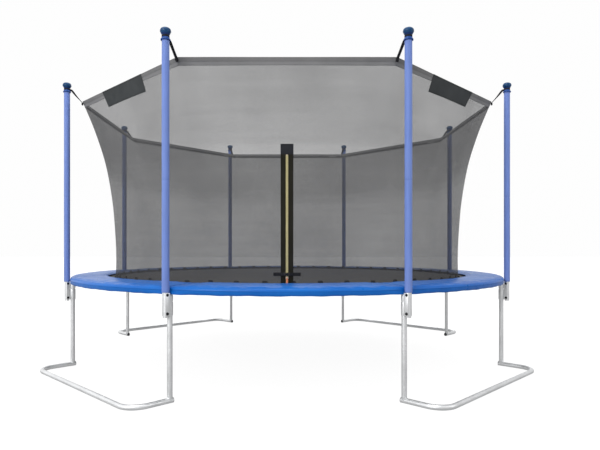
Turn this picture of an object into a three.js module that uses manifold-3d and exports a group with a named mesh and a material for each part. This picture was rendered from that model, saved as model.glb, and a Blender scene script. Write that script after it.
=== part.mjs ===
// Round garden trampoline with a safety net: eight frame arcs on four U-shaped leg bases,
// eight net poles in foam sleeves, a bouncing mat on springs, a padded edge cover and a zip door.
// Millimetres, +Z up. The origin is on the ground under the middle; -Y is the front, where the door is.
import * as THREE from 'three';
import { mergeVertices } from 'three/addons/utils/BufferGeometryUtils.js';
import Module from 'manifold-3d';

const wasm = await Module();
wasm.setup();

// ---- driving dimensions ----
const LEGS = 8;                 // legs, poles and frame arcs
const FIRST_LEG_DEG = 22.5;     // azimuth of leg 1 from the front, turning towards +X
const RING_R = 2131;            // centre line of the ring tube and of the legs
const RING_Z = 784;             // height of the ring tube's centre
const POLE_R = 2180;            // centre line of the net poles
const TUBE_R = 19.4;            // corner radius of the eight-sided steel tubes (38 mm tube)
const BORE_R = 17.6;            // corner radius of their bore
const SPIGOT_R = 17.2;          // swaged end that fits the bore
const SPIGOT_BORE_R = 15.4;
const SPIGOT_LEN = 62;
const GAP = 0.4;                // clearance between pieces that meet

const BASE_REACH = 309;         // how far the base tube runs out past the legs
const BASE_BEND_R = 135;        // its bend radius, at the centre line
const BASE_TAIL = 23;           // tube end inside the leg
const STUB_TOP = 380;           // where the upright stands on the base's stub
const LEG_TOP = 747;
const SOCKET_Z0 = 712, SOCKET_R = 23.4, SOCKET_BORE_R = 19.9;

const POLE_Z0 = 600, POLE_TOP = 2504.6;
const SLEEVE_Z0 = 774, SLEEVE_R = 26.3, SLEEVE_BORE_R = 20.5;
const BOLT_Z = [628, 757];
const BRACKET_Z0 = 612, BRACKET_Z1 = 771, COLLAR_Z1 = 704;

const CAP_Z0 = 2505, CAP_TOP = 2594, CAP_DOME_R = 36, CAP_NECK_R = 24, CAP_FLANGE_R = 33.5, CAP_PLUG_R = 15.6;

const PAD_IN_R = 1818, PAD_OUT_R = 2153.3, PAD_Z0 = 810, PAD_Z1 = 829, SKIRT_IN_R = 2150.9, SKIRT_Z0 = 752;
const MAT_R = 1862, MAT_Z0 = 794.5, MAT_Z1 = 797.5;
const SPRINGS = 80, SPRING_R = 12, SPRING_Z = 796, SPRING_IN = 1874, SPRING_OUT = 2108, HOOP_R = 1874;

const NET_SEGMENTS = 48, NET_OUT = 0.6, NET_IN = 1.4;   // how far its two faces lie from the profile below
// radius of the net at each height: under the poles, and at the middle of a panel
const NET_PROFILE = [
  [803, 1750, 1746], [1030, 1741, 1755.5], [1388, 1765, 1770.6], [1643, 1803, 1781.3],
  [1850, 1842, 1790], [2150, 1933, 1833], [2431, 2045, 1889.4],
];
const STRAP_W = 20, STRAP_T = 3, STRAP_RING_Z = 2526, LOOP_R = 26.5;

const DOOR_FOOT_R = 1746, DOOR_FOOT_Z = 803;            // foot of the zip line on the net
const DOOR_LEAN = Math.atan((1790 - 1746) / (1850 - 803));
const TAPE_W = 93, TAPE_Z0 = 45, TAPE_Z1 = 1036, TEETH_W = 12, TEETH_Z0 = 45, TEETH_Z1 = 964;
const BUCKLE_Z = 84, STRAP_H = 26;
const PULL_PIN = [0, -9.4, 61];

// ---- helpers ----
const rad = (d) => (d * Math.PI) / 180;
const legAzimuth = (k) => FIRST_LEG_DEG + k * (360 / LEGS);

function solid(geometry) {
  const g = geometry.clone();
  g.deleteAttribute('normal');
  g.deleteAttribute('uv');
  const merged = mergeVertices(g, 1e-4);
  return new wasm.Manifold(new wasm.Mesh({
    numProp: 3,
    vertProperties: new Float32Array(merged.attributes.position.array),
    triVerts: new Uint32Array(merged.index.array),
  }));
}
function geometryOf(manifold) {
  const mesh = manifold.getMesh();
  const g = new THREE.BufferGeometry();
  g.setAttribute('position', new THREE.BufferAttribute(new Float32Array(mesh.vertProperties), 3));
  g.setIndex(new THREE.BufferAttribute(new Uint32Array(mesh.triVerts), 1));
  g.computeVertexNormals();
  return g;
}
const join = (first, ...rest) => rest.reduce((a, b) => a.add(b), first);
const cut = (first, ...rest) => rest.reduce((a, b) => a.subtract(b), first);

function polygon(r, n, phase = Math.PI / n) {
  const shape = new THREE.Shape();
  for (let i = 0; i < n; i++) {
    const a = phase + (i * 2 * Math.PI) / n;
    if (i) shape.lineTo(r * Math.cos(a), r * Math.sin(a));
    else shape.moveTo(r * Math.cos(a), r * Math.sin(a));
  }
  shape.closePath();
  return shape;
}
// upright prism of n sides, from z0 to z1
function prism(r, n, z0, z1, x = 0, y = 0, phase) {
  return new THREE.ExtrudeGeometry(polygon(r, n, phase), { depth: z1 - z0, bevelEnabled: false, steps: 1 }).translate(x, y, z0);
}
// prism along a horizontal direction through a point
function crossPrism(r, n, length, centre, angle) {
  return new THREE.ExtrudeGeometry(polygon(r, n), { depth: length, bevelEnabled: false, steps: 1 })
    .translate(0, 0, -length / 2).rotateY(Math.PI / 2).rotateZ(angle).translate(...centre);
}
function box(x0, x1, y0, y1, z0, z1) {
  return new THREE.BoxGeometry(x1 - x0, y1 - y0, z1 - z0).translate((x0 + x1) / 2, (y0 + y1) / 2, (z0 + z1) / 2);
}
// closed or axis-to-axis profile of [r, z], turned about +Z
function turned(profile, segments) {
  return new THREE.LatheGeometry(profile.map(([r, z]) => new THREE.Vector2(r, z)), segments).rotateX(Math.PI / 2);
}
// A tube path in a horizontal plane whose sections are mitred, so flats stay level and walls stay even.
class LevelPath extends THREE.Curve {
  // before and after are where the path would go on, when an end is to be mitred as well
  constructor(points, before, after) {
    super();
    this.points = points;
    this.before = before;
    this.after = after;
  }
  getPointAt(u) {
    const i = Math.round(u * (this.points.length - 1));
    return this.points[i].clone();
  }
  getPoint(u) {
    return this.getPointAt(u);
  }
  getSpacedPoints() {
    return this.points.map((p) => p.clone());
  }
  computeFrenetFrames() {
    const p = this.points, tangents = [], normals = [], binormals = [];
    for (let i = 0; i < p.length; i++) {
      const b = p[i], a = p[i - 1] || this.before, c = p[i + 1] || this.after;
      const d0 = (a ? b.clone().sub(a) : c.clone().sub(b)).normalize();
      const d1 = (c ? c.clone().sub(b) : b.clone().sub(a)).normalize();
      const t = d0.clone().add(d1).normalize();
      const n = new THREE.Vector3(0, 0, -1);
      tangents.push(t);
      normals.push(n);
      binormals.push(t.clone().cross(n).multiplyScalar(1 / Math.max(t.dot(d1), 0.2)));
    }
    return { tangents, normals, binormals };
  }
}
function levelTube(r, n, points, before, after) {
  return new THREE.ExtrudeGeometry(polygon(r, n), { steps: points.length - 1, extrudePath: new LevelPath(points, before, after) });
}
const onArc = (radius, deg, z = 0) => new THREE.Vector3(radius * Math.cos(rad(deg)), radius * Math.sin(rad(deg)), z);
function arcPoints(radius, fromDeg, toDeg, steps, z = 0) {
  return Array.from({ length: steps + 1 }, (_, i) => onArc(radius, fromDeg + ((toDeg - fromDeg) * i) / steps, z));
}

// ---- finishes ----
const steel = new THREE.MeshStandardMaterial({ color: 0xc9ccd0, roughness: 0.38, metalness: 0.85 });
const foam = new THREE.MeshStandardMaterial({ color: 0x768cd5, roughness: 0.7, metalness: 0 });
const capPlastic = new THREE.MeshStandardMaterial({ color: 0x21456b, roughness: 0.45, metalness: 0 });
const netMesh = new THREE.MeshStandardMaterial({ color: 0x3a3b3d, roughness: 0.9, metalness: 0 });
const padCover = new THREE.MeshStandardMaterial({ color: 0x1767c4, roughness: 0.5, metalness: 0 });
const matFabric = new THREE.MeshStandardMaterial({ color: 0x1c1d20, roughness: 0.8, metalness: 0 });
const springSteel = new THREE.MeshStandardMaterial({ color: 0xb4b8bd, roughness: 0.35, metalness: 0.9 });
const tapeFabric = new THREE.MeshStandardMaterial({ color: 0x1b1813, roughness: 0.85, metalness: 0 });
const sliderMetal = new THREE.MeshStandardMaterial({ color: 0x8a8d92, roughness: 0.35, metalness: 0.8 });
const pullRed = new THREE.MeshStandardMaterial({ color: 0xc8553a, roughness: 0.6, metalness: 0 });
const buckleBlack = new THREE.MeshStandardMaterial({ color: 0x141416, roughness: 0.4, metalness: 0 });

const trampoline = new THREE.Group();
function place(parent, name, geometry, material) {
  const mesh = new THREE.Mesh(geometry, material);
  mesh.name = name;
  parent.add(mesh);
  return mesh;
}

// ---- frame arc: hollow ring segment with the leg socket under its middle and a spigot at one end ----
// Built round the trampoline's axis, with the leg at azimuth 0 (+X).
function frameArc() {
  const half = 360 / LEGS / 2, ringGap = (GAP / 2 / RING_R) * (180 / Math.PI);
  const outer = solid(levelTube(TUBE_R, 8, arcPoints(RING_R, -half + ringGap, half - ringGap, 6, RING_Z),
    onArc(RING_R, -half - 7.5, RING_Z), onArc(RING_R, half + 7.5, RING_Z)));
  // the spigot follows the straight runs of the two tubes that it joins
  const corner = onArc(RING_R, half, RING_Z);
  const along = (deg, length) => corner.clone().add(onArc(RING_R, deg, RING_Z).sub(corner).setLength(length));
  const back = (length) => along(half - 7.5, length), on = (length) => along(half + 7.5, length);
  const bore = solid(levelTube(BORE_R, 8, [onArc(RING_R, -half - 0.3, RING_Z), ...arcPoints(RING_R, -half, half - 7.5, 5, RING_Z), back(40)]));
  const spigot = solid(levelTube(SPIGOT_R, 8, [back(20), corner, on(SPIGOT_LEN)]));
  const spigotBore = solid(levelTube(SPIGOT_BORE_R, 8, [back(48), corner, on(SPIGOT_LEN + 8)]));
  const socket = solid(prism(SOCKET_R, 8, SOCKET_Z0, RING_Z - 4, RING_R));
  const socketBore = solid(prism(SOCKET_BORE_R, 8, SOCKET_Z0 - 5, LEG_TOP + 1, RING_R));
  const skirtSpace = solid(box(RING_R + 18.4, RING_R + 60, -60, 60, SKIRT_Z0 - 3, RING_Z + 30));   // the cover's skirt hangs here
  return geometryOf(cut(join(outer, cut(socket, skirtSpace), spigot), bore, spigotBore, socketBore));
}
const frameArcGeometry = frameArc();

// ---- leg base: level U tube with two stubs that the uprights stand on ----
// Built with the middle of the U on +X.
function legBase() {
  const inX = RING_R * Math.cos(rad(22.5)), y = RING_R * Math.sin(rad(22.5));
  const outX = inX + BASE_REACH, z = TUBE_R * Math.cos(Math.PI / 8), r = BASE_BEND_R;
  const bend = (cx, cy, a0, a1) => arcPoints(r, a0, a1, 3, z).map((p) => p.add(new THREE.Vector3(cx, cy, 0)));
  const middle = [...bend(outX - r, -y + r, -90, 0), ...bend(outX - r, y - r, 0, 90)];
  const end = (x, side) => new THREE.Vector3(x, side * y, z);
  const outer = solid(levelTube(TUBE_R, 8, [end(inX - BASE_TAIL, -1), ...middle, end(inX - BASE_TAIL, 1)]));
  const bore = solid(levelTube(BORE_R, 8, [end(inX - BASE_TAIL - 5, -1), ...middle, end(inX - BASE_TAIL - 5, 1)]));
  const turn = (side) => rad(side * 22.5 + 22.5);       // stub flats line up with the upright's
  const stub = (side, rr, z0, z1) => solid(prism(rr, 8, z0, z1, 0, 0, turn(side)).translate(inX, side * y, 0));
  let body = outer;
  for (const s of [-1, 1]) body = join(body, stub(s, TUBE_R, z, STUB_TOP), stub(s, SPIGOT_R, STUB_TOP - 10, STUB_TOP + SPIGOT_LEN));
  body = cut(body, bore);
  for (const s of [-1, 1]) body = cut(body, stub(s, BORE_R, z + 6, STUB_TOP - 40), stub(s, SPIGOT_BORE_R, STUB_TOP - 45, STUB_TOP + SPIGOT_LEN + 5));
  return geometryOf(body);
}
const legBaseGeometry = legBase();

// ---- upright, pole, sleeve, cap and bracket: built at azimuth 0, where +X is outwards ----
const uprightGeometry = geometryOf(cut(
  solid(prism(TUBE_R, 8, STUB_TOP + GAP, LEG_TOP, RING_R)),
  solid(prism(BORE_R, 8, STUB_TOP - 5, LEG_TOP + 5, RING_R)),
));

// side is +1 where the other leg of the same base lies towards +azimuth, else -1
const chord = (side) => rad(90 + side * 22.5);
function netPole(side) {
  let body = cut(solid(prism(TUBE_R, 8, POLE_Z0, POLE_TOP, POLE_R)), solid(prism(BORE_R, 8, POLE_Z0 - 5, POLE_TOP + 5, POLE_R)));
  for (const z of BOLT_Z) body = cut(body, solid(crossPrism(5.2, 6, 80, [POLE_R, 0, z], chord(side))));
  return geometryOf(body);
}
const poleGeometry = { 1: netPole(1), '-1': netPole(-1) };

const sleeveGeometry = turned([
  [SLEEVE_BORE_R, SLEEVE_Z0], [SLEEVE_R, SLEEVE_Z0], [SLEEVE_R, POLE_TOP], [SLEEVE_BORE_R, POLE_TOP], [SLEEVE_BORE_R, SLEEVE_Z0],
], 10).translate(POLE_R, 0, 0);

const capGeometry = turned([
  [0, CAP_Z0 - 44], [CAP_PLUG_R, CAP_Z0 - 44], [CAP_PLUG_R, CAP_Z0],
  [CAP_FLANGE_R, CAP_Z0], [CAP_FLANGE_R, CAP_Z0 + 9], [CAP_NECK_R, CAP_Z0 + 18], [CAP_NECK_R, CAP_Z0 + 44],
  [CAP_DOME_R, CAP_Z0 + 52], [CAP_DOME_R - 2, CAP_Z0 + 68], [CAP_DOME_R * 0.6, CAP_TOP - 2], [0, CAP_TOP],
], 10).translate(POLE_R, 0, 0);

function bracket(side, head) {
  const t = chord(side), s = t - Math.PI / 2;            // along the chord; across it, outwards
  const inPole = (g) => g.rotateZ(s).translate(POLE_R, 0, 0);
  const collar = solid(prism(23.4, 8, BRACKET_Z0, COLLAR_Z1 + 6, RING_R));
  const web = solid(inPole(box(-24, -20.4, -23.8, 23.8, BRACKET_Z0, BRACKET_Z1)));
  const bridge = solid(box(RING_R + 17, RING_R + 28.8, -12, 12, BRACKET_Z0 + 8, COLLAR_Z1 - 8));
  const legBore = solid(prism(19.9, 8, BRACKET_Z0 - 5, COLLAR_Z1 + 10, RING_R));
  const aboveCollar = solid(box(RING_R - 60, RING_R + 23.7, -60, 60, COLLAR_Z1, BRACKET_Z1 + 10));
  let body = join(collar, web, bridge);
  for (const w of [-1, 1]) body = join(body, solid(inPole(box(-24, 12, w > 0 ? 20.2 : -23.8, w > 0 ? 23.8 : -20.2, BRACKET_Z0, BRACKET_Z1))));
  body = cut(body, legBore, aboveCollar);
  for (const z of BOLT_Z) {
    const shank = solid(inPole(crossPrism(4.4, 6, 56, [0, 0, 0], Math.PI / 2)).translate(0, 0, z));
    const nut = solid(inPole(crossPrism(8.4, 6, 7, [0, -head * 27, 0], Math.PI / 2)).translate(0, 0, z));
    const boltHead = solid(inPole(crossPrism(9.4, 6, 6.4, [0, head * 26.8, 0], Math.PI / 2)).translate(0, 0, z));
    body = join(body, shank, nut, boltHead);
  }
  return geometryOf(body);
}

// ---- the eight frame sectors, anticlockwise seen from above, from the front right ----
const HEAD_SIDE = [-1, -1, 1, 1, -1, -1, 1, 1];          // bolt heads are turned to the front on the front half
for (let k = 0; k < LEGS; k++) {
  const sector = new THREE.Group();
  sector.rotation.z = rad(legAzimuth(k) - 90);
  trampoline.add(sector);
  const side = k % 2 === 0 ? 1 : -1, n = k + 1;
  place(sector, `frame_arc_${n}`, frameArcGeometry, steel);
  place(sector, `leg_upright_${n}`, uprightGeometry, steel);
  place(sector, `net_pole_${n}`, poleGeometry[side], steel);
  place(sector, `pole_sleeve_${n}`, sleeveGeometry, foam);
  place(sector, `pole_cap_${n}`, capGeometry, capPlastic);
  place(sector, `pole_bracket_${n}`, bracket(side, HEAD_SIDE[k]), steel);
}
for (let b = 0; b < LEGS / 2; b++) {
  const foot = new THREE.Group();
  foot.rotation.z = rad(45 + 90 * b - 90);
  trampoline.add(foot);
  place(foot, `leg_base_${b + 1}`, legBaseGeometry, steel);
}

// ---- bouncing mat, springs and padded edge cover ----
place(trampoline, 'jump_mat', turned([[0, MAT_Z0], [MAT_R, MAT_Z0], [MAT_R, MAT_Z1], [0, MAT_Z1]], 48), matFabric);

// the hoop stands for the row of triangular rings on the mat's edge, which the springs hook into
function springRow() {
  const hoop = solid(turned([[HOOP_R - 3, SPRING_Z - 2], [HOOP_R + 3, SPRING_Z - 2], [HOOP_R + 3, SPRING_Z + 2], [HOOP_R - 3, SPRING_Z + 2], [HOOP_R - 3, SPRING_Z - 2]], SPRINGS));
  const coil = turned([[0, SPRING_IN], [SPRING_R, SPRING_IN + 26], [SPRING_R, SPRING_OUT - 26], [0, SPRING_OUT]], 4).rotateZ(Math.PI / 4)
    .rotateX(-Math.PI / 2).rotateZ(-Math.PI / 2).translate(0, 0, SPRING_Z);
  let row = hoop;
  for (let i = 0; i < SPRINGS; i++) row = join(row, solid(coil.clone().rotateZ(rad(((i + 0.5) * 360) / SPRINGS))));
  return geometryOf(row);
}
place(trampoline, 'springs', springRow(), springSteel);

place(trampoline, 'safety_pad', turned([
  [PAD_IN_R, PAD_Z0], [SKIRT_IN_R, PAD_Z0], [SKIRT_IN_R, SKIRT_Z0], [PAD_OUT_R, SKIRT_Z0], [PAD_OUT_R, PAD_Z1 - 6],
  [PAD_OUT_R - 10, PAD_Z1], [PAD_IN_R + 6, PAD_Z1], [PAD_IN_R, PAD_Z1 - 5], [PAD_IN_R, PAD_Z0],
], 48), padCover);

// ---- safety net: one sewn shell, round at the mat and eight-sided at its top hem ----
function netRadius(azimuthDeg, row) {
  const [, corner, middle] = NET_PROFILE[row];
  const step = 360 / LEGS;
  const off = Math.abs(((((azimuthDeg % step) + step) % step)) - step / 2);   // 0 at a corner, 22.5 mid-panel
  const fromMiddle = rad(step / 2 - off);
  const bulge = (1 / Math.cos(fromMiddle) - 1) / (1 / Math.cos(rad(step / 2)) - 1);
  return middle + (corner - middle) * bulge;
}
function safetyNet() {
  // both faces are split along the same diagonals, so the wall keeps its thickness where the cloth twists
  const rows = NET_PROFILE.length, perPanel = NET_SEGMENTS / LEGS, points = [], index = [];
  for (const offset of [NET_OUT, -NET_IN]) {
    for (let s = 0; s < NET_SEGMENTS; s++) {
      const azimuth = FIRST_LEG_DEG + (s * 360) / NET_SEGMENTS;
      for (let row = 0; row < rows; row++) {
        const r = netRadius(azimuth, row) + offset;
        points.push(r * Math.sin(rad(azimuth)), -r * Math.cos(rad(azimuth)), NET_PROFILE[row][0]);
      }
    }
  }
  const outer = (s, row) => (s % NET_SEGMENTS) * rows + row, inner = (s, row) => NET_SEGMENTS * rows + outer(s, row);
  const quad = (a, b, c, d, rising) => index.push(...(rising ? [a, b, c, a, c, d] : [a, b, d, b, c, d]));
  for (let s = 0; s < NET_SEGMENTS; s++) {
    const rising = s % perPanel < perPanel / 2;
    for (let row = 0; row < rows - 1; row++) {
      quad(outer(s, row), outer(s + 1, row), outer(s + 1, row + 1), outer(s, row + 1), rising);
      quad(inner(s + 1, row), inner(s, row), inner(s, row + 1), inner(s + 1, row + 1), !rising);
    }
    quad(outer(s, rows - 1), outer(s + 1, rows - 1), inner(s + 1, rows - 1), inner(s, rows - 1), true);
    quad(inner(s, 0), inner(s + 1, 0), outer(s + 1, 0), outer(s, 0), true);
  }
  const g = new THREE.BufferGeometry();
  g.setAttribute('position', new THREE.BufferAttribute(new Float32Array(points), 3));
  g.setIndex(index);
  let body = solid(g);
  // a webbing strap from each top corner, ending in a loop round the neck of the pole cap
  const loop = turned([[LOOP_R, STRAP_RING_Z], [LOOP_R + STRAP_T, STRAP_RING_Z], [LOOP_R + STRAP_T, STRAP_RING_Z + STRAP_W], [LOOP_R, STRAP_RING_Z + STRAP_W], [LOOP_R, STRAP_RING_Z]], 8).translate(POLE_R, 0, 0);
  const x0 = 2043, z0 = 2424, x1 = POLE_R - LOOP_R - 0.4, z1 = STRAP_RING_Z + STRAP_W / 2;
  const length = Math.hypot(x1 - x0, z1 - z0), tilt = Math.atan2(z1 - z0, x1 - x0);
  const strap = new THREE.BoxGeometry(length, STRAP_W, STRAP_T).rotateY(-tilt).translate((x0 + x1) / 2, 0, (z0 + z1) / 2);
  for (let k = 0; k < LEGS; k++) {
    const a = rad(legAzimuth(k) - 90);
    body = join(body, solid(loop.clone().rotateZ(a)), solid(strap.clone().rotateZ(a)));
  }
  return geometryOf(body);
}
place(trampoline, 'safety_net', safetyNet(), netMesh);

// ---- zip door at the front: x to the right, -y outwards, z up along the zip ----
const door = new THREE.Group();
door.position.set(0, -DOOR_FOOT_R, DOOR_FOOT_Z);
door.rotation.x = DOOR_LEAN;
trampoline.add(door);

function ribbon(points, height, z) {
  const shape = new THREE.Shape(points.map(([x, y]) => new THREE.Vector2(x, y)));
  return new THREE.ExtrudeGeometry(shape, { depth: height, bevelEnabled: false, steps: 1 }).translate(0, 0, z - height / 2);
}
const tape = solid(box(-TAPE_W / 2, TAPE_W / 2, -2.6, -1, TAPE_Z0, TAPE_Z1));
const teeth = solid(box(-TEETH_W / 2, TEETH_W / 2, -4.6, -2, TEETH_Z0, TEETH_Z1));
// webbing sewn on beside the zip, which stands off it to the socket half of the buckle
const socketWeb = solid(ribbon([[-100, -0.6], [-47, -3.2], [-30, -14.6], [-20, -14.6], [-20, -16.8], [-31, -16.8], [-44, -8.2], [-47, -5.4], [-100, -2.8]], STRAP_H - 4, BUCKLE_Z));
const anchor = solid(box(-46.4, -40, -5, -2, BUCKLE_Z - STRAP_H / 2 + 2, BUCKLE_Z + STRAP_H / 2 - 2));
const socketShell = cut(
  solid(box(-24, 8, -20.5, -11.5, BUCKLE_Z - STRAP_H / 2, BUCKLE_Z + STRAP_H / 2)),
  solid(box(-16, 12, -18.4, -13.6, BUCKLE_Z - STRAP_H / 2 + 3, BUCKLE_Z + STRAP_H / 2 - 3)),
);
place(door, 'zip_tape', geometryOf(join(tape, teeth, anchor, socketWeb, socketShell)), tapeFabric);

const tongue = solid(box(-12, 9.5, -17.9, -14.1, BUCKLE_Z - STRAP_H / 2 + 4, BUCKLE_Z + STRAP_H / 2 - 4));
const grip = solid(box(8.6, 22, -20, -12, BUCKLE_Z - STRAP_H / 2 + 1, BUCKLE_Z + STRAP_H / 2 - 1));
const plugWeb = solid(ribbon([[20, -16.8], [31, -16.8], [44, -8.2], [47, -5.4], [100, -2.8], [100, -0.6], [47, -3.2], [30, -14.6], [20, -14.6]], STRAP_H - 4, BUCKLE_Z));
place(door, 'buckle_plug', geometryOf(join(tongue, grip, plugWeb)), buckleBlack);

// slider, with two cheeks and the pin that the pull turns on
const slider = join(
  solid(box(-9, 9, -7.2, -5, 47, 65)),
  solid(box(3.1, 4.5, -10.6, -7, 59.2, 62.6)),
  solid(box(-4.5, -3.1, -10.6, -7, 59.2, 62.6)),
  solid(crossPrism(0.6, 8, 6.8, PULL_PIN, 0)),
);
place(door, 'zip_slider', geometryOf(slider), sliderMetal);
const pull = cut(
  join(
    solid(box(-6, 6, -10.2, -8.6, 22, 55)),
    solid(box(-2.6, 2.6, -10.2, -8.6, 54, 60.2)),
    solid(crossPrism(1.75, 8, 5.2, PULL_PIN, 0)),
  ),
  solid(crossPrism(0.95, 8, 9, PULL_PIN, 0)),
);
place(door, 'zip_pull', geometryOf(pull), pullRed);

export default trampoline;
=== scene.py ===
import math

import bpy
import numpy as np
from mathutils import Matrix, Vector


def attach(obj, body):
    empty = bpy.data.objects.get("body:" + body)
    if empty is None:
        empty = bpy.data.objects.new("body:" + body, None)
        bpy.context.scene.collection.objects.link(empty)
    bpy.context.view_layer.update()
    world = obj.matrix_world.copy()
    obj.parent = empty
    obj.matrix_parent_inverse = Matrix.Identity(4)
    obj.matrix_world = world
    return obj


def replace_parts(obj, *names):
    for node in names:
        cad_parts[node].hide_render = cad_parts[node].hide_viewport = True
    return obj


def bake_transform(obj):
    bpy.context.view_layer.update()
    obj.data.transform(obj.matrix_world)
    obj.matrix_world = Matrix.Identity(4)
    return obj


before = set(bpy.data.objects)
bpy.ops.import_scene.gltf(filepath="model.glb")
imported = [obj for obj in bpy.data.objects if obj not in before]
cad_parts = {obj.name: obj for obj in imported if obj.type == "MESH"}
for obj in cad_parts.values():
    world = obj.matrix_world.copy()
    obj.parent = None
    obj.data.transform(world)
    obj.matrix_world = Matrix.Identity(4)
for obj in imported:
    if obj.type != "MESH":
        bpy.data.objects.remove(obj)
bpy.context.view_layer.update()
rad = math.radians
MM = 0.001

# ---------------------------------------------------------------- dimensions, in millimetres
RING_R, RING_Z, POLE_R, TUBE_R, TUBE_IN = 2131.0, 784.0, 2180.0, 19.0, 17.4
NET_PROFILE = np.array([
    [803, 1750, 1746], [1030, 1741, 1755.5], [1388, 1765, 1770.6], [1643, 1803, 1781.3],
    [1850, 1842, 1790], [2150, 1933, 1833], [2431, 2045, 1889.4]], float)
NET_TOP, NET_FOOT = 2431.0, 803.0
DOOR_LEAN = math.atan((1790 - 1746) / (1850 - 803))
LEGS = 8
rng = np.random.default_rng(7)


def azimuth(k):
    return 22.5 + 45 * k


def turn_z(deg):
    return Matrix.Rotation(rad(deg), 4, "Z")


def sector(k):
    return turn_z(azimuth(k) - 90)


DOOR = Matrix.Translation((0, -1746 * MM, 803 * MM)) @ Matrix.Rotation(DOOR_LEAN, 4, "X")


# ---------------------------------------------------------------- mesh building
class Shape:
    """Collects vertices, quads and triangles, in millimetres, and makes one mesh in metres."""

    def __init__(self):
        self.v, self.q, self.t, self.qm, self.tm, self.n = [], [], [], [], [], 0

    def add(self, verts, quads=None, tris=None, mat=0, move=None):
        verts = np.asarray(verts, float).reshape(-1, 3)
        if move is not None:
            m = np.array(move, float)
            verts = verts @ m[:3, :3].T + m[:3, 3]
        self.v.append(verts)
        if quads is not None and len(quads):
            self.q.append(np.asarray(quads, np.int64) + self.n)
            self.qm.append(np.full(len(quads), mat))
        if tris is not None and len(tris):
            self.t.append(np.asarray(tris, np.int64) + self.n)
            self.tm.append(np.full(len(tris), mat))
        self.n += len(verts)
        return self

    def mesh(self, name, sharp=38):
        v = np.concatenate(self.v) * MM
        q = np.concatenate(self.q) if self.q else np.zeros((0, 4), int)
        t = np.concatenate(self.t) if self.t else np.zeros((0, 3), int)
        mats = np.concatenate([*self.qm, *self.tm]) if (self.qm or self.tm) else []
        me = bpy.data.meshes.new(name)
        me.vertices.add(len(v))
        me.vertices.foreach_set("co", v.astype(np.float32).ravel())
        me.loops.add(q.size + t.size)
        me.loops.foreach_set("vertex_index", np.concatenate([q.ravel(), t.ravel()]).astype(np.int32))
        me.polygons.add(len(q) + len(t))
        starts = np.concatenate([np.arange(len(q)) * 4, q.size + np.arange(len(t)) * 3])
        me.polygons.foreach_set("loop_start", starts.astype(np.int32))
        me.polygons.foreach_set("material_index", np.asarray(mats, np.int32))
        me.update(calc_edges=True)
        me.validate()
        me.shade_smooth()
        if sharp:
            me.set_sharp_from_angle(angle=rad(sharp))
        return me


def put(name, mesh, materials, body="frame", at=None):
    if isinstance(mesh, Shape):
        mesh = mesh.mesh(name)
    if not len(mesh.materials):
        for m in materials:
            mesh.materials.append(m)
    if at is not None:
        mesh = mesh.copy()
        mesh.transform(at)
    o = bpy.data.objects.new(name, mesh)
    bpy.context.scene.collection.objects.link(o)
    if body:
        bpy.context.view_layer.update()
        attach(o, body)
    return o


def grid_quads(nu, nv, wrap_u=False, wrap_v=False, flip=False):
    """Quads of a grid whose vertex index is u * nv + v."""
    u, v = np.arange(nu if wrap_u else nu - 1), np.arange(nv if wrap_v else nv - 1)
    U, V = np.meshgrid(u, v, indexing="ij")
    a, b = U * nv + V, U * nv + (V + 1) % nv
    c, d = ((U + 1) % nu) * nv + (V + 1) % nv, ((U + 1) % nu) * nv + V
    q = np.stack([a, b, c, d], -1).reshape(-1, 4)
    return q[:, ::-1] if flip else q


def rounded(points, r, closed=False, seg=4, least=18):
    """A polyline with its corners rounded."""
    p = [np.array(x, float) for x in points]
    n, out = len(p), []
    for i in range(n):
        if not closed and i in (0, n - 1):
            out.append(p[i])
            continue
        a, b, c = p[i - 1], p[i], p[(i + 1) % n]
        u, w = a - b, c - b
        lu, lw = np.linalg.norm(u), np.linalg.norm(w)
        if lu < 1e-9 or lw < 1e-9:
            out.append(b)
            continue
        u, w = u / lu, w / lw
        bend = math.degrees(math.acos(max(-1, min(1, float(-(u @ w))))))
        if bend < least:
            out.append(b)
            continue
        d = min(r * math.tan(rad(bend) / 2), 0.45 * lu, 0.45 * lw)
        s, e = b + u * d, b + w * d
        for k in range(seg + 1):
            f = k / seg
            out.append((1 - f) ** 2 * s + 2 * f * (1 - f) * b + f * f * e)
    return out


def lathe(profile, n, closed=False, phase=0.0):
    """Turned about Z. The profile runs up the outside; a closed one then comes down the inside."""
    ang = phase + np.arange(n) * 2 * math.pi / n
    verts, rings = [], []
    count = 0
    for r, z in profile:
        if abs(r) < 1e-6:
            verts.append(np.array([[0, 0, z]]))
            rings.append((count, 1))
            count += 1
        else:
            verts.append(np.stack([r * np.cos(ang), r * np.sin(ang), np.full(n, float(z))], 1))
            rings.append((count, n))
            count += n
    i = np.arange(n)
    j = (i + 1) % n
    quads, tris = [], []
    pairs = list(zip(rings[:-1], rings[1:]))
    if closed:
        pairs.append((rings[-1], rings[0]))
    for (a, na), (b, nb) in pairs:
        if na == 1 and nb == 1:
            continue
        if na == 1:
            tris.append(np.stack([np.full(n, a), b + j, b + i], 1))
        elif nb == 1:
            tris.append(np.stack([a + i, a + j, np.full(n, b)], 1))
        else:
            quads.append(np.stack([a + i, a + j, b + j, b + i], 1))
    return (np.concatenate(verts), np.concatenate(quads) if quads else None,
            np.concatenate(tris) if tris else None)


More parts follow.
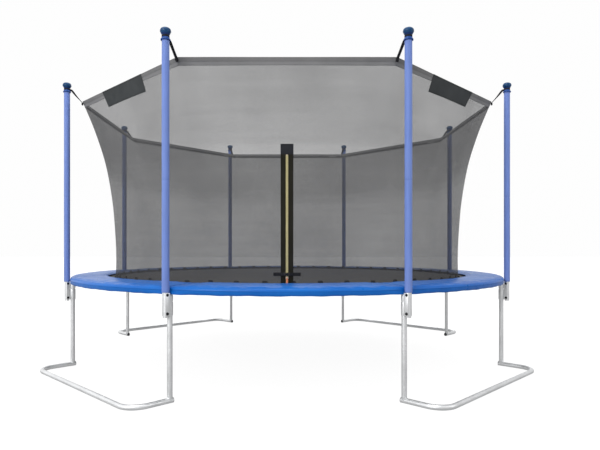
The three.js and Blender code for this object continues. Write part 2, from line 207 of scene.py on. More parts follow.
def frames(path, up=None, closed=False):
    p = np.asarray(path, float)
    if closed:
        t = np.roll(p, -1, 0) - np.roll(p, 1, 0)
    else:
        t = np.gradient(p, axis=0)
    t /= np.maximum(np.linalg.norm(t, axis=1, keepdims=True), 1e-12)
    b = np.zeros_like(p)
    if up is not None:
        u = np.broadcast_to(np.asarray(up, float), p.shape)
        b = u - (u * t).sum(1, keepdims=True) * t
    else:
        v = np.array([0, 0, 1.0]) if abs(t[0][2]) < 0.9 else np.array([1.0, 0, 0])
        v = v - (v @ t[0]) * t[0]
        for i in range(len(p)):
            v = v - (v @ t[i]) * t[i]
            v /= np.linalg.norm(v)
            b[i] = v
        if closed:  # spread the twist that is left over all the steps
            w = b[-1] - (b[-1] @ t[0]) * t[0]
            w /= np.linalg.norm(w)
            left = math.atan2(float(np.cross(w, b[0]) @ t[0]), float(w @ b[0]))
            for i in range(len(p)):
                a = left * i / len(p)
                b[i] = b[i] * math.cos(a) + np.cross(t[i], b[i]) * math.sin(a)
    b /= np.maximum(np.linalg.norm(b, axis=1, keepdims=True), 1e-12)
    return p, t, b, np.cross(b, t)


def circle(r, n, phase=0.0):
    a = phase + np.arange(n) * 2 * math.pi / n
    return np.stack([r * np.cos(a), r * np.sin(a)], 1)


def flat_band(w, h, r=0.5, seg=2):
    """Outline of a webbing's section: w across (first axis), h thick."""
    pts = rounded([(w / 2, -h / 2), (w / 2, h / 2), (-w / 2, h / 2), (-w / 2, -h / 2)], r, True, seg)
    return np.array(pts)


def sweep(path, section, up=None, closed=False, caps=True, scale=None):
    """A closed section carried along a path. Its first axis is across, its second is along up."""
    p, t, b, a = frames(path, up, closed)
    s = np.asarray(section, float)
    k = np.ones(len(p)) if scale is None else np.asarray(scale, float)
    verts = p[:, None] + (a[:, None] * s[None, :, :1] + b[:, None] * s[None, :, 1:]) * k[:, None, None]
    n, m = len(p), len(s)
    quads = grid_quads(n, m, wrap_u=closed, wrap_v=True)
    verts = verts.reshape(-1, 3)
    tris = None
    if caps and not closed:
        i = np.arange(m)
        j = (i + 1) % m
        c0, c1 = len(verts), len(verts) + 1
        last = (n - 1) * m
        verts = np.concatenate([verts, verts[:m].mean(0)[None], verts[last:last + m].mean(0)[None]])
        tris = np.concatenate([np.stack([np.full(m, c0), j, i], 1), np.stack([last + i, last + j, np.full(m, c1)], 1)])
    return verts, quads, tris


def hollow(path, r_out, r_in, n, up=None):
    """A tube with a wall and open ends."""
    p, t, b, a = frames(path, up)
    c = circle(1, n)
    ring = a[:, None] * c[None, :, :1] + b[:, None] * c[None, :, 1:]
    outer, inner = p[:, None] + ring * r_out, p[:, None] + ring * r_in
    # a small chamfer at both ends
    e = 0.5
    first = p[:1, None] + ring[:1] * (r_out - e) - 0 * t[:1, None]
    last = p[-1:, None] + ring[-1:] * (r_out - e)
    outer[0] += t[0] * e
    outer[-1] -= t[-1] * e
    rows = np.concatenate([first, outer, last, inner[::-1]])
    return rows.reshape(-1, 3), grid_quads(len(rows), n, wrap_u=True, wrap_v=True), None


def block(x0, x1, y0, y1, z0, z1, r=1.0, seg=3):
    """A box with rounded upright edges and softened ends."""
    out = np.array(rounded([(x1, y0), (x1, y1), (x0, y1), (x0, y0)], r, True, seg))
    c = out.mean(0)
    e = min(0.6 * r, (z1 - z0) * 0.3)
    small = c + (out - c) * (1 - e / max(min(x1 - x0, y1 - y0) / 2, e * 1.01))
    rows = [(small, z0), (out, z0 + e), (out, z1 - e), (small, z1)]
    verts = np.concatenate([np.column_stack([s, np.full(len(s), z)]) for s, z in rows])
    m = len(out)
    quads = grid_quads(4, m, wrap_v=True)
    i = np.arange(m)
    j = (i + 1) % m
    c0, c1, last = len(verts), len(verts) + 1, 3 * m
    verts = np.concatenate([verts, [[*c, z0], [*c, z1]]])
    tris = np.concatenate([np.stack([np.full(m, c0), j, i], 1), np.stack([last + i, last + j, np.full(m, c1)], 1)])
    return verts, quads, tris


def knot(centre, unit, r, n=60, sides=8, up=(0, 0, 1)):
    t = np.arange(n) * 2 * math.pi / n
    p = np.stack([np.sin(t) + 2 * np.sin(2 * t), np.cos(t) - 2 * np.cos(2 * t), -1.1 * np.sin(3 * t)], 1) * unit
    p = p[:, [2, 0, 1]] + np.array(centre)
    return sweep(p, circle(r, sides), closed=True)


def plain_object(name, parts):
    s = Shape()
    for x in parts:
        s.add(*x)
    o = bpy.data.objects.new(name, s.mesh(name, sharp=30))
    bpy.context.scene.collection.objects.link(o)
    return o


def boolean(base, others, how):
    for x in others:
        m = base.modifiers.new("b", "BOOLEAN")
        m.operation, m.object, m.solver = how, x, "EXACT"
    dg = bpy.context.evaluated_depsgraph_get()
    me = bpy.data.meshes.new_from_object(base.evaluated_get(dg))
    base.modifiers.clear()
    old = base.data
    base.data = me
    bpy.data.meshes.remove(old)
    for x in others:
        d = x.data
        bpy.data.objects.remove(x)
        bpy.data.meshes.remove(d)
    return base


# ---------------------------------------------------------------- materials
class Nodes:
    def __init__(self, name):
        self.mat = bpy.data.materials.new(name)
        self.mat.use_nodes = True
        self.nt = self.mat.node_tree
        self.b = self.nt.nodes["Principled BSDF"]
        self.co = None

    def new(self, kind, **props):
        n = self.nt.nodes.new(kind)
        for k, v in props.items():
            setattr(n, k, v)
        return n

    def link(self, a, b):
        self.nt.links.new(a, b)

    def feed(self, socket, value):
        if isinstance(value, bpy.types.NodeSocket):
            self.link(value, socket)
        else:
            socket.default_value = value

    def coords(self, scale=(1, 1, 1), rot=(0, 0, 0), source=None):
        if self.co is None:
            self.co = self.new("ShaderNodeTexCoord").outputs["Object"]
        m = self.new("ShaderNodeMapping")
        m.inputs["Scale"].default_value = scale
        m.inputs["Rotation"].default_value = rot
        self.link(source or self.co, m.inputs["Vector"])
        return m.outputs[0]

    def noise(self, scale, detail=3.0, rough=0.5, co=None):
        n = self.new("ShaderNodeTexNoise")
        n.inputs["Scale"].default_value = scale
        n.inputs["Detail"].default_value = detail
        n.inputs["Roughness"].default_value = rough
        self.link(co or self.coords(), n.inputs["Vector"])
        return n.outputs["Fac"]

    def voronoi(self, scale, co=None, out="Color", feature="F1"):
        n = self.new("ShaderNodeTexVoronoi", feature=feature)
        n.inputs["Scale"].default_value = scale
        self.link(co or self.coords(), n.inputs["Vector"])
        return n.outputs[out]

    def wave(self, scale, direction="X", co=None, profile="SIN", distortion=0.0):
        n = self.new("ShaderNodeTexWave", wave_type="BANDS", bands_direction=direction, wave_profile=profile)
        n.inputs["Scale"].default_value = scale
        n.inputs["Distortion"].default_value = distortion
        n.inputs["Detail"].default_value = 1.0
        self.link(co or self.coords(), n.inputs["Vector"])
        return n.outputs["Fac"]

    def math(self, op, a, b=0.0, c=None, clamp=False):
        n = self.new("ShaderNodeMath", operation=op, use_clamp=clamp)
        self.feed(n.inputs[0], a)
        self.feed(n.inputs[1], b)
        if c is not None:
            self.feed(n.inputs[2], c)
        return n.outputs[0]

    def span(self, fac, lo, hi, a=0.0, b=1.0):
        n = self.new("ShaderNodeMapRange")
        self.link(fac, n.inputs["Value"])
        n.inputs["From Min"].default_value = lo
        n.inputs["From Max"].default_value = hi
        n.inputs["To Min"].default_value = a
        n.inputs["To Max"].default_value = b
        return n.outputs[0]

    def mix(self, fac, a, b):
        n = self.new("ShaderNodeMix", data_type="RGBA")
        self.feed(n.inputs["Factor"], fac)
        self.feed(n.inputs[6], (*a, 1) if isinstance(a, tuple) and len(a) == 3 else a)
        self.feed(n.inputs[7], (*b, 1) if isinstance(b, tuple) and len(b) == 3 else b)
        return n.outputs[2]

    def bump(self, height, distance, strength=1.0, under=None):
        n = self.new("ShaderNodeBump")
        n.inputs["Distance"].default_value = distance
        n.inputs["Strength"].default_value = strength
        self.link(height, n.inputs["Height"])
        if under is not None:
            self.link(under, n.inputs["Normal"])
        return n.outputs[0]

    def done(self, color=None, rough=None, normal=None, alpha=None, **sockets):
        b = self.b
        if color is not None:
            self.feed(b.inputs["Base Color"], (*color, 1) if isinstance(color, tuple) and len(color) == 3 else color)
        if rough is not None:
            self.feed(b.inputs["Roughness"], rough)
        if normal is not None:
            self.link(normal, b.inputs["Normal"])
        if alpha is not None:
            self.feed(b.inputs["Alpha"], alpha)
        for k, v in sockets.items():
            self.feed(b.inputs[k.replace("_", " ").title().replace("Ior", "IOR")], v)
        return self.mat


def scaled(c, f):
    return tuple(x * f for x in c)


def steel(name, tint=(0.80, 0.81, 0.82), spangle=150.0, rough=(0.3, 0.5)):
    n = Nodes(name)
    cells = n.voronoi(spangle)
    value = n.new("ShaderNodeRGBToBW")
    n.link(cells, value.inputs[0])
    grain = n.noise(35, 5, 0.6)
    stain = n.noise(6, 3, 0.5)
    base = n.mix(value.outputs[0], scaled(tint, 0.93), scaled(tint, 1.06))
    base = n.mix(n.span(stain, 0.42, 0.75), base, scaled(tint, 0.86))
    r = n.math("ADD", n.span(grain, 0.3, 0.7, rough[0], rough[1]), n.math("MULTIPLY", value.outputs[0], 0.06))
    return n.done(base, r, n.bump(n.noise(420, 3, 0.6), 0.0004, 0.35), metallic=0.8)


def black_metal(name):
    n = Nodes(name)
    worn = n.span(n.noise(260, 4, 0.65), 0.55, 0.72)
    return n.done(n.mix(worn, (0.012, 0.012, 0.014), (0.09, 0.09, 0.095)),
                  n.span(n.noise(180, 3), 0.3, 0.7, 0.34, 0.6), n.bump(n.noise(700, 3), 0.0003, 0.4), metallic=0.55)


def foam_cover(name, base=(0.133, 0.210, 0.530)):
    n = Nodes(name)
    tall = n.coords((1, 1, 0.12))
    folds = n.noise(55, 4, 0.55, tall)
    skin = n.noise(900, 2, 0.5)
    tone = n.noise(4, 3, 0.5)
    c = n.mix(n.span(folds, 0.3, 0.7), scaled(base, 0.90), scaled(base, 1.08))
    c = n.mix(n.span(tone, 0.45, 0.8, 0.0, 0.5), c, (0.160, 0.238, 0.545))
    weave = n.math("MULTIPLY", n.wave(320, "Z"), n.voronoi(650, out="Distance"))
    h = n.bump(folds, 0.0022, 0.5)
    h = n.bump(n.math("ADD", skin, weave), 0.0003, 0.4, h)
    return n.done(c, n.span(folds, 0.3, 0.7, 0.48, 0.66), h, sheen_weight=0.08, sheen_roughness=0.5, specular_ior_level=0.35)


def plastic(name, base, rough=(0.28, 0.42), light=None):
    n = Nodes(name)
    mott = n.noise(60, 4, 0.6)
    c = n.mix(n.span(mott, 0.35, 0.75), base, light or scaled(base, 1.35))
    return n.done(c, n.span(n.noise(140, 3), 0.3, 0.7, rough[0], rough[1]), n.bump(n.noise(520, 3, 0.5), 0.0004, 0.35), specular_ior_level=0.3)


def vinyl(name, base=(0.004, 0.135, 0.500), deep=(0.002, 0.096, 0.410)):
    n = Nodes(name)
    tone = n.noise(2.2, 4, 0.55)
    crease = n.noise(26, 5, 0.62)
    c = n.mix(n.span(tone, 0.3, 0.7), deep, base)
    c = n.mix(n.span(crease, 0.58, 0.8, 0.0, 0.35), c, (0.020, 0.190, 0.580))
    weave = n.math("MULTIPLY", n.wave(230, "X"), n.wave(230, "Y"))
    h = n.bump(n.noise(9, 4, 0.5), 0.004, 0.25)
    h = n.bump(crease, 0.0006, 0.22, h)
    h = n.bump(weave, 0.0001, 0.2, h)
    return n.done(c, n.span(crease, 0.3, 0.7, 0.26, 0.42), h, specular_ior_level=0.24)


def woven_mat(name):
    n = Nodes(name)
    warp, weft = n.wave(95, "X", profile="SIN"), n.wave(95, "Y", profile="SIN")
    cross = n.math("MULTIPLY", n.math("SUBTRACT", warp, 0.5), n.math("SUBTRACT", weft, 0.5))
    over = n.span(cross, -0.08, 0.08)
    dust = n.noise(3.0, 5, 0.6)
    c = n.mix(over, (0.007, 0.006, 0.007), (0.022, 0.020, 0.022))
    c = n.mix(n.span(dust, 0.45, 0.8, 0.0, 0.45), c, (0.032, 0.030, 0.029))
    h = n.bump(n.math("MAXIMUM", warp, weft), 0.0011, 0.6)
    h = n.bump(n.noise(5, 3), 0.006, 0.25, h)
    return n.done(c, n.span(over, 0.0, 1.0, 0.5, 0.66), h, specular_ior_level=0.3, sheen_weight=0.10, sheen_roughness=0.4)


def webbing(name, base=(0.007, 0.007, 0.009), along="Z", lift=2.6):
    n = Nodes(name)
    ribs = n.wave(420, along)
    twill = n.wave(300, "DIAGONAL")
    h = n.math("ADD", n.math("MULTIPLY", ribs, 0.6), n.math("MULTIPLY", twill, 0.4))
    c = n.mix(n.math("MULTIPLY", h, n.noise(120, 3)), base, scaled(base, lift))
    return n.done(c, n.span(n.noise(90, 3), 0.3, 0.7, 0.6, 0.82), n.bump(h, 0.0006, 0.6), sheen_weight=0.04, sheen_roughness=0.4, specular_ior_level=0.22)


def net_cloth(name, thread=(0.0565, 0.0572, 0.0586), pale=(0.0703, 0.0703, 0.0724), least=0.35, most=0.875, tone_amount=0.05):
    """Knitted mesh: rows of small holes between threads, seen through as the real one is."""
    n = Nodes(name)
    co = n.new("ShaderNodeTexCoord").outputs["Object"]
    n.co = co
    xyz = n.new("ShaderNodeSeparateXYZ")
    n.link(co, xyz.inputs[0])
    around = n.math("ARCTAN2", xyz.outputs[0], xyz.outputs[1])
    u = n.math("MULTIPLY", around, 1.85)          # whole numbers of bands fit round the net at this scale
    flat = n.new("ShaderNodeCombineXYZ")
    n.link(u, flat.inputs[0])
    n.link(xyz.outputs[2], flat.inputs[1])
    a = n.wave(72, "X", flat.outputs[0])
    b = n.wave(72, "Y", flat.outputs[0])
    d = n.wave(72, "DIAGONAL", flat.outputs[0])
    hole = n.math("MULTIPLY", a, b)
    hole = n.math("MULTIPLY", hole, n.math("ADD", n.math("MULTIPLY", d, 0.4), 0.8), clamp=True)
    tone = n.noise(1.3, 4, 0.55)
    course = n.noise(16, 3, 0.5, n.coords((0.05, 0.05, 1.0)))
    alpha = n.span(hole, 0.0, 0.75, most, least)
    alpha = n.math("ADD", alpha, n.span(tone, 0.3, 0.7, -tone_amount, tone_amount))
    alpha = n.math("ADD", alpha, n.span(course, 0.3, 0.7, -0.015, 0.015), clamp=True)
    # the knit is stretched wider low down than where the net flares out at the top
    alpha = n.math("MULTIPLY", alpha, n.span(xyz.outputs[2], 1.66, 1.88, 0.83, 0.985))
    low = n.span(xyz.outputs[2], 0.80, 1.02, 0.72, 1.0)   # painted shade: the net's colour turns darker towards the mat, where its foot gets less light
    c = n.mix(n.span(tone, 0.3, 0.7), thread, pale)
    # painted shade: the threads are darkened low down, by the mat
    c = n.mix(low, scaled(thread, 0.35), c)
    return n.done(c, n.span(hole, 0.0, 0.7, 0.75, 0.9), n.bump(hole, 0.0006, 0.5), alpha, specular_ior_level=0.15)


def cloth(name, base, rib=260, rough=(0.7, 0.88), lift=1.5, alpha=None):
    n = Nodes(name)
    w = n.math("MULTIPLY", n.wave(rib, "X"), n.wave(rib, "Z"))
    tone = n.noise(7, 4, 0.55)
    c = n.mix(w, base, scaled(base, lift))
    c = n.mix(n.span(tone, 0.35, 0.75, 0.0, 0.5), c, scaled(base, 0.8))
    return n.done(c, n.span(tone, 0.3, 0.7, rough[0], rough[1]), n.bump(n.math("ADD", w, n.noise(800, 2)), 0.0005, 0.5), alpha, specular_ior_level=0.2)


M_STEEL = steel("galvanised_steel")
M_SPRING = steel("zinc_spring", (0.62, 0.63, 0.65), 420, (0.24, 0.4))
M_BOLT = black_metal("black_bolt")
M_FOAM = foam_cover("foam_cover")
M_CAP = plastic("cap_navy", (0.002, 0.042, 0.125), (0.30, 0.42), (0.003, 0.056, 0.160))
M_NECK = plastic("cap_neck", (0.001, 0.020, 0.100), (0.34, 0.46))
M_FLANGE = plastic("cap_royal", (0.008, 0.052, 0.235), (0.34, 0.46), (0.011, 0.066, 0.275))
M_PLUG = plastic("end_plug", (0.060, 0.062, 0.066), (0.4, 0.55))
M_PAD = vinyl("pad_vinyl")
M_UNDER = cloth("pad_underside", (0.20, 0.22, 0.26), 180)
M_SEW = cloth("pad_thread", (0.004, 0.060, 0.260), 900)
M_MAT = woven_mat("mat_weave")
M_WEB = webbing("black_webbing")
M_WEBX = webbing("black_webbing_across", along="X")
M_NET = net_cloth("net_mesh")
M_HEM = cloth("net_hem", (0.168, 0.168, 0.170), 240, lift=1.2)
M_HEM2 = cloth("net_hem_light", (0.200, 0.200, 0.203), 240, lift=1.2)
M_PATCH = cloth("patch_cloth", (0.036, 0.040, 0.042), 330, (0.6, 0.8), 1.4)
M_THREAD = cloth("thread", (0.010, 0.010, 0.012), 900)
M_GREY = cloth("grey_thread", (0.105, 0.105, 0.108), 900)
M_TAPE = cloth("zip_tape", (0.010, 0.009, 0.005), 420, (0.75, 0.9), 1.6)
M_FLAP = cloth("zip_flap", (0.014, 0.015, 0.019), 300, (0.75, 0.9), 1.5)
M_EDGE = cloth("zip_inner_edge", (0.400, 0.350, 0.170), 700, (0.6, 0.8), 1.2)
M_COIL = plastic("zip_coil", (0.560, 0.500, 0.260), (0.4, 0.55), (0.640, 0.590, 0.340))
M_SLIDER = steel("slider_metal", (0.80, 0.66, 0.52), 900, (0.22, 0.38))
M_PULL = plastic("pull_rubber", (0.620, 0.170, 0.075), (0.45, 0.62), (0.740, 0.260, 0.130))
M_BUCKLE = plastic("buckle_plastic", (0.006, 0.006, 0.007), (0.35, 0.5), (0.012, 0.012, 0.014))


# ---------------------------------------------------------------- camera
cam = bpy.data.objects.new("camera", bpy.data.cameras.new("camera"))
bpy.context.scene.collection.objects.link(cam)
cam.location = (0, -5.559, 1.074)
cam.rotation_euler = (rad(90), 0, 0)
cam.data.sensor_width = 36
cam.data.lens = 36 * 516 / 600
cam.data.shift_x = 13 / 600
cam.data.shift_y = 23.8 / 600
cam.data.clip_end = 200
bpy.context.scene.camera = cam


# ---------------------------------------------------------------- net shape
def pchip(x, xs, ys):
    """Monotone cubic through the profile's rows."""
    h, d = np.diff(xs), np.diff(ys) / np.diff(xs)
    m = np.zeros(len(xs))
    for i in range(1, len(xs) - 1):
        if d[i - 1] * d[i] > 0:
            w1, w2 = 2 * h[i] + h[i - 1], h[i] + 2 * h[i - 1]
            m[i] = (w1 + w2) / (w1 / d[i - 1] + w2 / d[i])
    m[0], m[-1] = d[0], d[-1]
    i = np.clip(np.searchsorted(xs, x) - 1, 0, len(xs) - 2)
    t = np.clip((x - xs[i]) / h[i], 0, 1)
    return ((2 * t**3 - 3 * t**2 + 1) * ys[i] + (t**3 - 2 * t**2 + t) * h[i] * m[i]
            + (-2 * t**3 + 3 * t**2) * ys[i + 1] + (t**3 - t**2) * h[i] * m[i + 1])


def net_radius(az, z):
    """az in degrees from the front towards +X, z in mm."""
    corner = pchip(z, NET_PROFILE[:, 0], NET_PROFILE[:, 1])
    middle = pchip(z, NET_PROFILE[:, 0], NET_PROFILE[:, 2])
    d = (az + 22.5) % 45 - 22.5
    bulge = (1 / np.cos(np.radians(d)) - 1) / (1 / math.cos(rad(22.5)) - 1)
    r = middle + (corner - middle) * bulge
    # pull folds that run down from the top corners, and a little slack between the ties at the foot
    off = np.radians(22.5 - np.abs(d)) * r
    down = NET_TOP - z
    far = np.hypot(off, down)
    turn = np.arctan2(off, down + 1)
    r = r + 3.2 * np.sin(8 * turn + 0.6) * np.exp(-((far - 260) / 230) ** 2) * (np.abs(d) < 22.4)
    foot = np.exp(-(z - NET_FOOT) / 70)
    r = r + 2.2 * np.cos(np.radians(az) * 60) * foot
    return r


def on_net(az, z, out=0.0):
    r = net_radius(az, z) + out
    a = np.radians(az)
    return np.stack([r * np.sin(a), -r * np.cos(a), z + 0 * a], -1)


# ---------------------------------------------------------------- steel frame
def ring_path(a0, a1, steps, r=RING_R, z=RING_Z):
    a = np.radians(np.linspace(a0, a1, steps + 1))
    return np.stack([r * np.cos(a), r * np.sin(a), np.full(len(a), z)], 1)


arc = Shape()
arc.add(*hollow(ring_path(-22.495, 22.495, 60), TUBE_R, TUBE_IN, 28, up=(0, 0, 1)))
arc.add(*hollow(ring_path(21.9, 22.5 + 62 / RING_R * 57.3, 6), 17.1, 15.4, 24, up=(0, 0, 1)))
socket = rounded([(19.45, 712), (22.9, 712), (22.9, 746), (20.2, 752), (19.9, 768), (19.45, 768)], 1.6, True)
arc.add(*lathe([tuple(p) for p in socket], 32, True), move=Matrix.Translation((RING_R, 0, 0)))
# weld bead that joins the socket to the ring tube
t = np.linspace(0, 2 * math.pi, 49)[:-1]
bead_z = RING_Z - np.sqrt(np.maximum(TUBE_R**2 - (19.9 * np.cos(t)) ** 2, 9))
bead = np.stack([RING_R + 20.1 * np.cos(t), 20.1 * np.sin(t), bead_z], 1)
arc.add(*sweep(bead, circle(1.9, 8), closed=True))
# the slots that the spring hooks drop into, each with a pressed rim
for i in range(-5, 5):
    a = rad((i + 0.5) * 4.5)
    c, s = math.cos(a), math.sin(a)
    u = np.linspace(0, 2 * math.pi, 17)[:-1]
    along, up_ = 3.4 * np.cos(u), 5.6 * np.sin(u)
    rr = RING_R - np.sqrt(np.maximum(TUBE_R**2 - (up_ + 8.0) ** 2, 1)) - 0.1
    arc.add(*sweep(np.stack([rr * c - along * s, rr * s + along * c, RING_Z + 8.0 + up_], 1), circle(0.7, 6), closed=True))
arc_mesh = arc.mesh("ring_arc")

upright = Shape().add(*hollow(np.array([[RING_R, 0, z] for z in np.linspace(380.4, 747, 8)]), TUBE_R, TUBE_IN, 32, up=(1, 0, 0)))
# spring button that locks the upright on its stub
button = rounded([(0.0, 0.0), (4.2, 0.0), (4.2, 2.0), (0.0, 3.0)], 1.2)
upright.add(*lathe([(p[0], p[1]) for p in button], 16), move=Matrix.Translation((RING_R + 18.2, 0, 412)) @ Matrix.Rotation(rad(90), 4, "Y"))
upright_mesh = upright.mesh("upright")


def base_path(z=TUBE_R):
    in_x, y = RING_R * math.cos(rad(22.5)), RING_R * math.sin(rad(22.5))
    out_x, r = in_x + 309, 135.0
    pts = [(in_x - 23, -y), (in_x + 60, -y), (out_x - r - 40, -y)]
    pts += [(out_x - r + r * math.sin(a), -y + r - r * math.cos(a)) for a in np.linspace(0, math.pi / 2, 15)]
    pts += [(out_x, f) for f in np.linspace(-y + r + 60, y - r - 60, 7)]
    pts += [(out_x - r + r * math.cos(a), y - r + r * math.sin(a)) for a in np.linspace(0, math.pi / 2, 15)]
    pts += [(out_x - r - 40, y), (in_x + 60, y), (in_x - 23, y)]
    return np.array([(px, py, z) for px, py in pts]), in_x, y


path, IN_X, LEG_Y = base_path()
base = Shape().add(*hollow(path, TUBE_R, TUBE_IN, 28, up=(0, 0, 1)))
for s in (-1, 1):
    stub = rounded([(17.4, 24), (19, 24), (19, 372), (18.9, 379.6), (17.1, 381.5), (17.1, 441), (16.4, 442), (15.5, 442), (15.5, 381), (17.3, 372)], 1.2, True)
    base.add(*lathe([tuple(p) for p in stub], 32, True), move=Matrix.Translation((IN_X, s * LEG_Y, 0)))
    t = np.linspace(0, 2 * math.pi, 41)[:-1]
    bead = np.stack([IN_X + 19.7 * np.cos(t), s * LEG_Y + 19.2 * np.sin(t), TUBE_R + np.sqrt(np.maximum(TUBE_R**2 - (18.6 * np.sin(t)) ** 2, 0)) + 0.6], 1)
    base.add(*sweep(bead, circle(2.3, 8), closed=True, scale=None))
    # plug in the tail's open end
    plug = rounded([(0.0, -3.2), (14.0, -3.0), (19.2, -1.6), (19.2, 0.4), (17.2, 0.4), (17.0, 9.0), (0.0, 9.0)], 0.9)
    base.add(*lathe([(p[0], p[1]) for p in plug], 24), mat=1, move=Matrix.Translation((IN_X - 23, s * LEG_Y, TUBE_R)) @ Matrix.Rotation(rad(90), 4, "Y"))
base_mesh = base.mesh("leg_base")

pole = Shape().add(*hollow(np.array([[POLE_R, 0, z] for z in (600, 640, 760, 1545, 1546, 2504.6)]), TUBE_R, TUBE_IN, 32, up=(1, 0, 0)))
pole_mesh = pole.mesh("net_pole")


def bracket_mesh(side):
    turn = Matrix.Translation((POLE_R, 0, 0)) @ turn_z(side * 22.5)
    mid = np.array(rounded([(12, 22.0), (-22.2, 22.0), (-22.2, -22.0), (12, -22.0)], 5.0, False, 5))
    d = np.gradient(mid, axis=0)
    d /= np.linalg.norm(d, axis=1, keepdims=True)
    nrm = np.stack([-d[:, 1], d[:, 0]], 1)
    m = len(mid)
    outline = np.concatenate([mid - nrm * 1.8, (mid + nrm * 1.8)[::-1]])
    if side > 9:
        outline = outline[::-1]
    z0, z1 = 612, 771
    verts = np.concatenate([np.column_stack([outline, np.full(2 * m, z)]) for z in (z0, z1)])
    i = np.arange(2 * m)
    j = (i + 1) % (2 * m)
    area = 0.5 * np.sum(outline[:, 0] * np.roll(outline[:, 1], -1) - np.roll(outline[:, 0], -1) * outline[:, 1])
    walls = np.stack([i, j, 2 * m + j, 2 * m + i], 1)
    k = np.arange(m - 1)
    bottom = np.stack([k, 2 * m - 1 - k, 2 * m - 2 - k, k + 1], 1)
    top = np.stack([k, k + 1, 2 * m - 2 - k, 2 * m - 1 - k], 1) + 2 * m
    if area < 0:
        walls, bottom, top = walls[:, ::-1], bottom[:, ::-1], top[:, ::-1]
    channel = Shape().add(verts, np.concatenate([walls, bottom, top]), None, move=turn)
    c = bpy.data.objects.new("channel", channel.mesh("channel"))
    bpy.context.scene.collection.objects.link(c)
    collar = plain_object("collar", [lathe([tuple(p) for p in rounded([(19.55, 612), (23.2, 612), (23.2, 704), (19.55, 704)], 0.8, True)], 40, True)])
    collar.data.transform(Matrix.Translation((RING_R * MM, 0, 0)))
    bridge = plain_object("bridge", [block(RING_R + 20.5, RING_R + 28.6, -12, 12, 620, 696, 1.5)])
    over = plain_object("over", [block(RING_R - 80, RING_R + 24.4, -70, 70, 704.5, 790, 0.5)])
    c = boolean(c, [over], "DIFFERENCE")
    c = boolean(c, [collar, bridge], "UNION")
    b = c.modifiers.new("bevel", "BEVEL")
    b.width, b.segments, b.limit_method, b.angle_limit = 0.0006, 2, "ANGLE", rad(40)
    dg = bpy.context.evaluated_depsgraph_get()
    me = bpy.data.meshes.new_from_object(c.evaluated_get(dg))
    old = c.data
    bpy.data.objects.remove(c)
    bpy.data.meshes.remove(old)
    me.name = f"bracket_{'a' if side > 0 else 'b'}"
    me.shade_smooth()
    me.set_sharp_from_angle(angle=rad(30))
    return me


bracket = {s: bracket_mesh(s) for s in (1, -1)}


def hexagon(r, h, dome=1.2):
    """Hexagonal head with its corners turned off at the top."""
    n = 36
    a = np.arange(n) * 2 * math.pi / n
    hexr = r * math.cos(math.pi / 6) / np.cos((a + math.pi / 6) % (math.pi / 3) - math.pi / 6)
    rows = [(np.full(n, 0.01), 0), (hexr, 0), (hexr, h - dome), (np.minimum(hexr, r * 0.93), h - dome * 0.5), (np.minimum(hexr, r * 0.86), h - 0.1), (np.full(n, r * 0.6), h), (np.full(n, 0.01), h + 0.2)]
    verts = np.concatenate([np.stack([q * np.cos(a), q * np.sin(a), np.full(n, float(z))], 1) for q, z in rows])
    return verts, grid_quads(len(rows), n, wrap_v=True), None


def bolt_mesh(side, head):
    """Both bolts of a bracket: head with washer on one side, nut with washer and thread end on the other."""
    s = Shape()
    for z in (628, 757):
        m = Matrix.Translation((POLE_R, 0, 0)) @ turn_z(side * 22.5) @ Matrix.Translation((0, 0, z)) @ Matrix.Rotation(rad(-90 * head), 4, "X")
        s.add(*lathe([tuple(p) for p in rounded([(0, -34), (4.0, -34), (4.4, -33), (4.4, 24), (0, 24)], 0.5)], 16), move=m)
        s.add(*lathe([tuple(p) for p in rounded([(4.5, 23.9), (10.6, 23.9), (10.6, 25.3), (4.5, 25.3)], 0.4, True)], 28, True), move=m)
        s.add(*hexagon(9.2, 5.2), move=m @ Matrix.Translation((0, 0, 25.2)))
        s.add(*lathe([tuple(p) for p in rounded([(4.5, -25.3), (10.6, -25.3), (10.6, -23.9), (4.5, -23.9)], 0.4, True)], 28, True), move=m)
        s.add(*hexagon(8.3, 6.0), move=m @ Matrix.Translation((0, 0, -25.2)) @ Matrix.Rotation(math.pi, 4, "X"))
    return s.mesh(f"bolts_{'a' if side > 0 else 'b'}{'p' if head > 0 else 'n'}")


HEAD_SIDE = [-1, -1, 1, 1, -1, -1, 1, 1]
bolts = {}


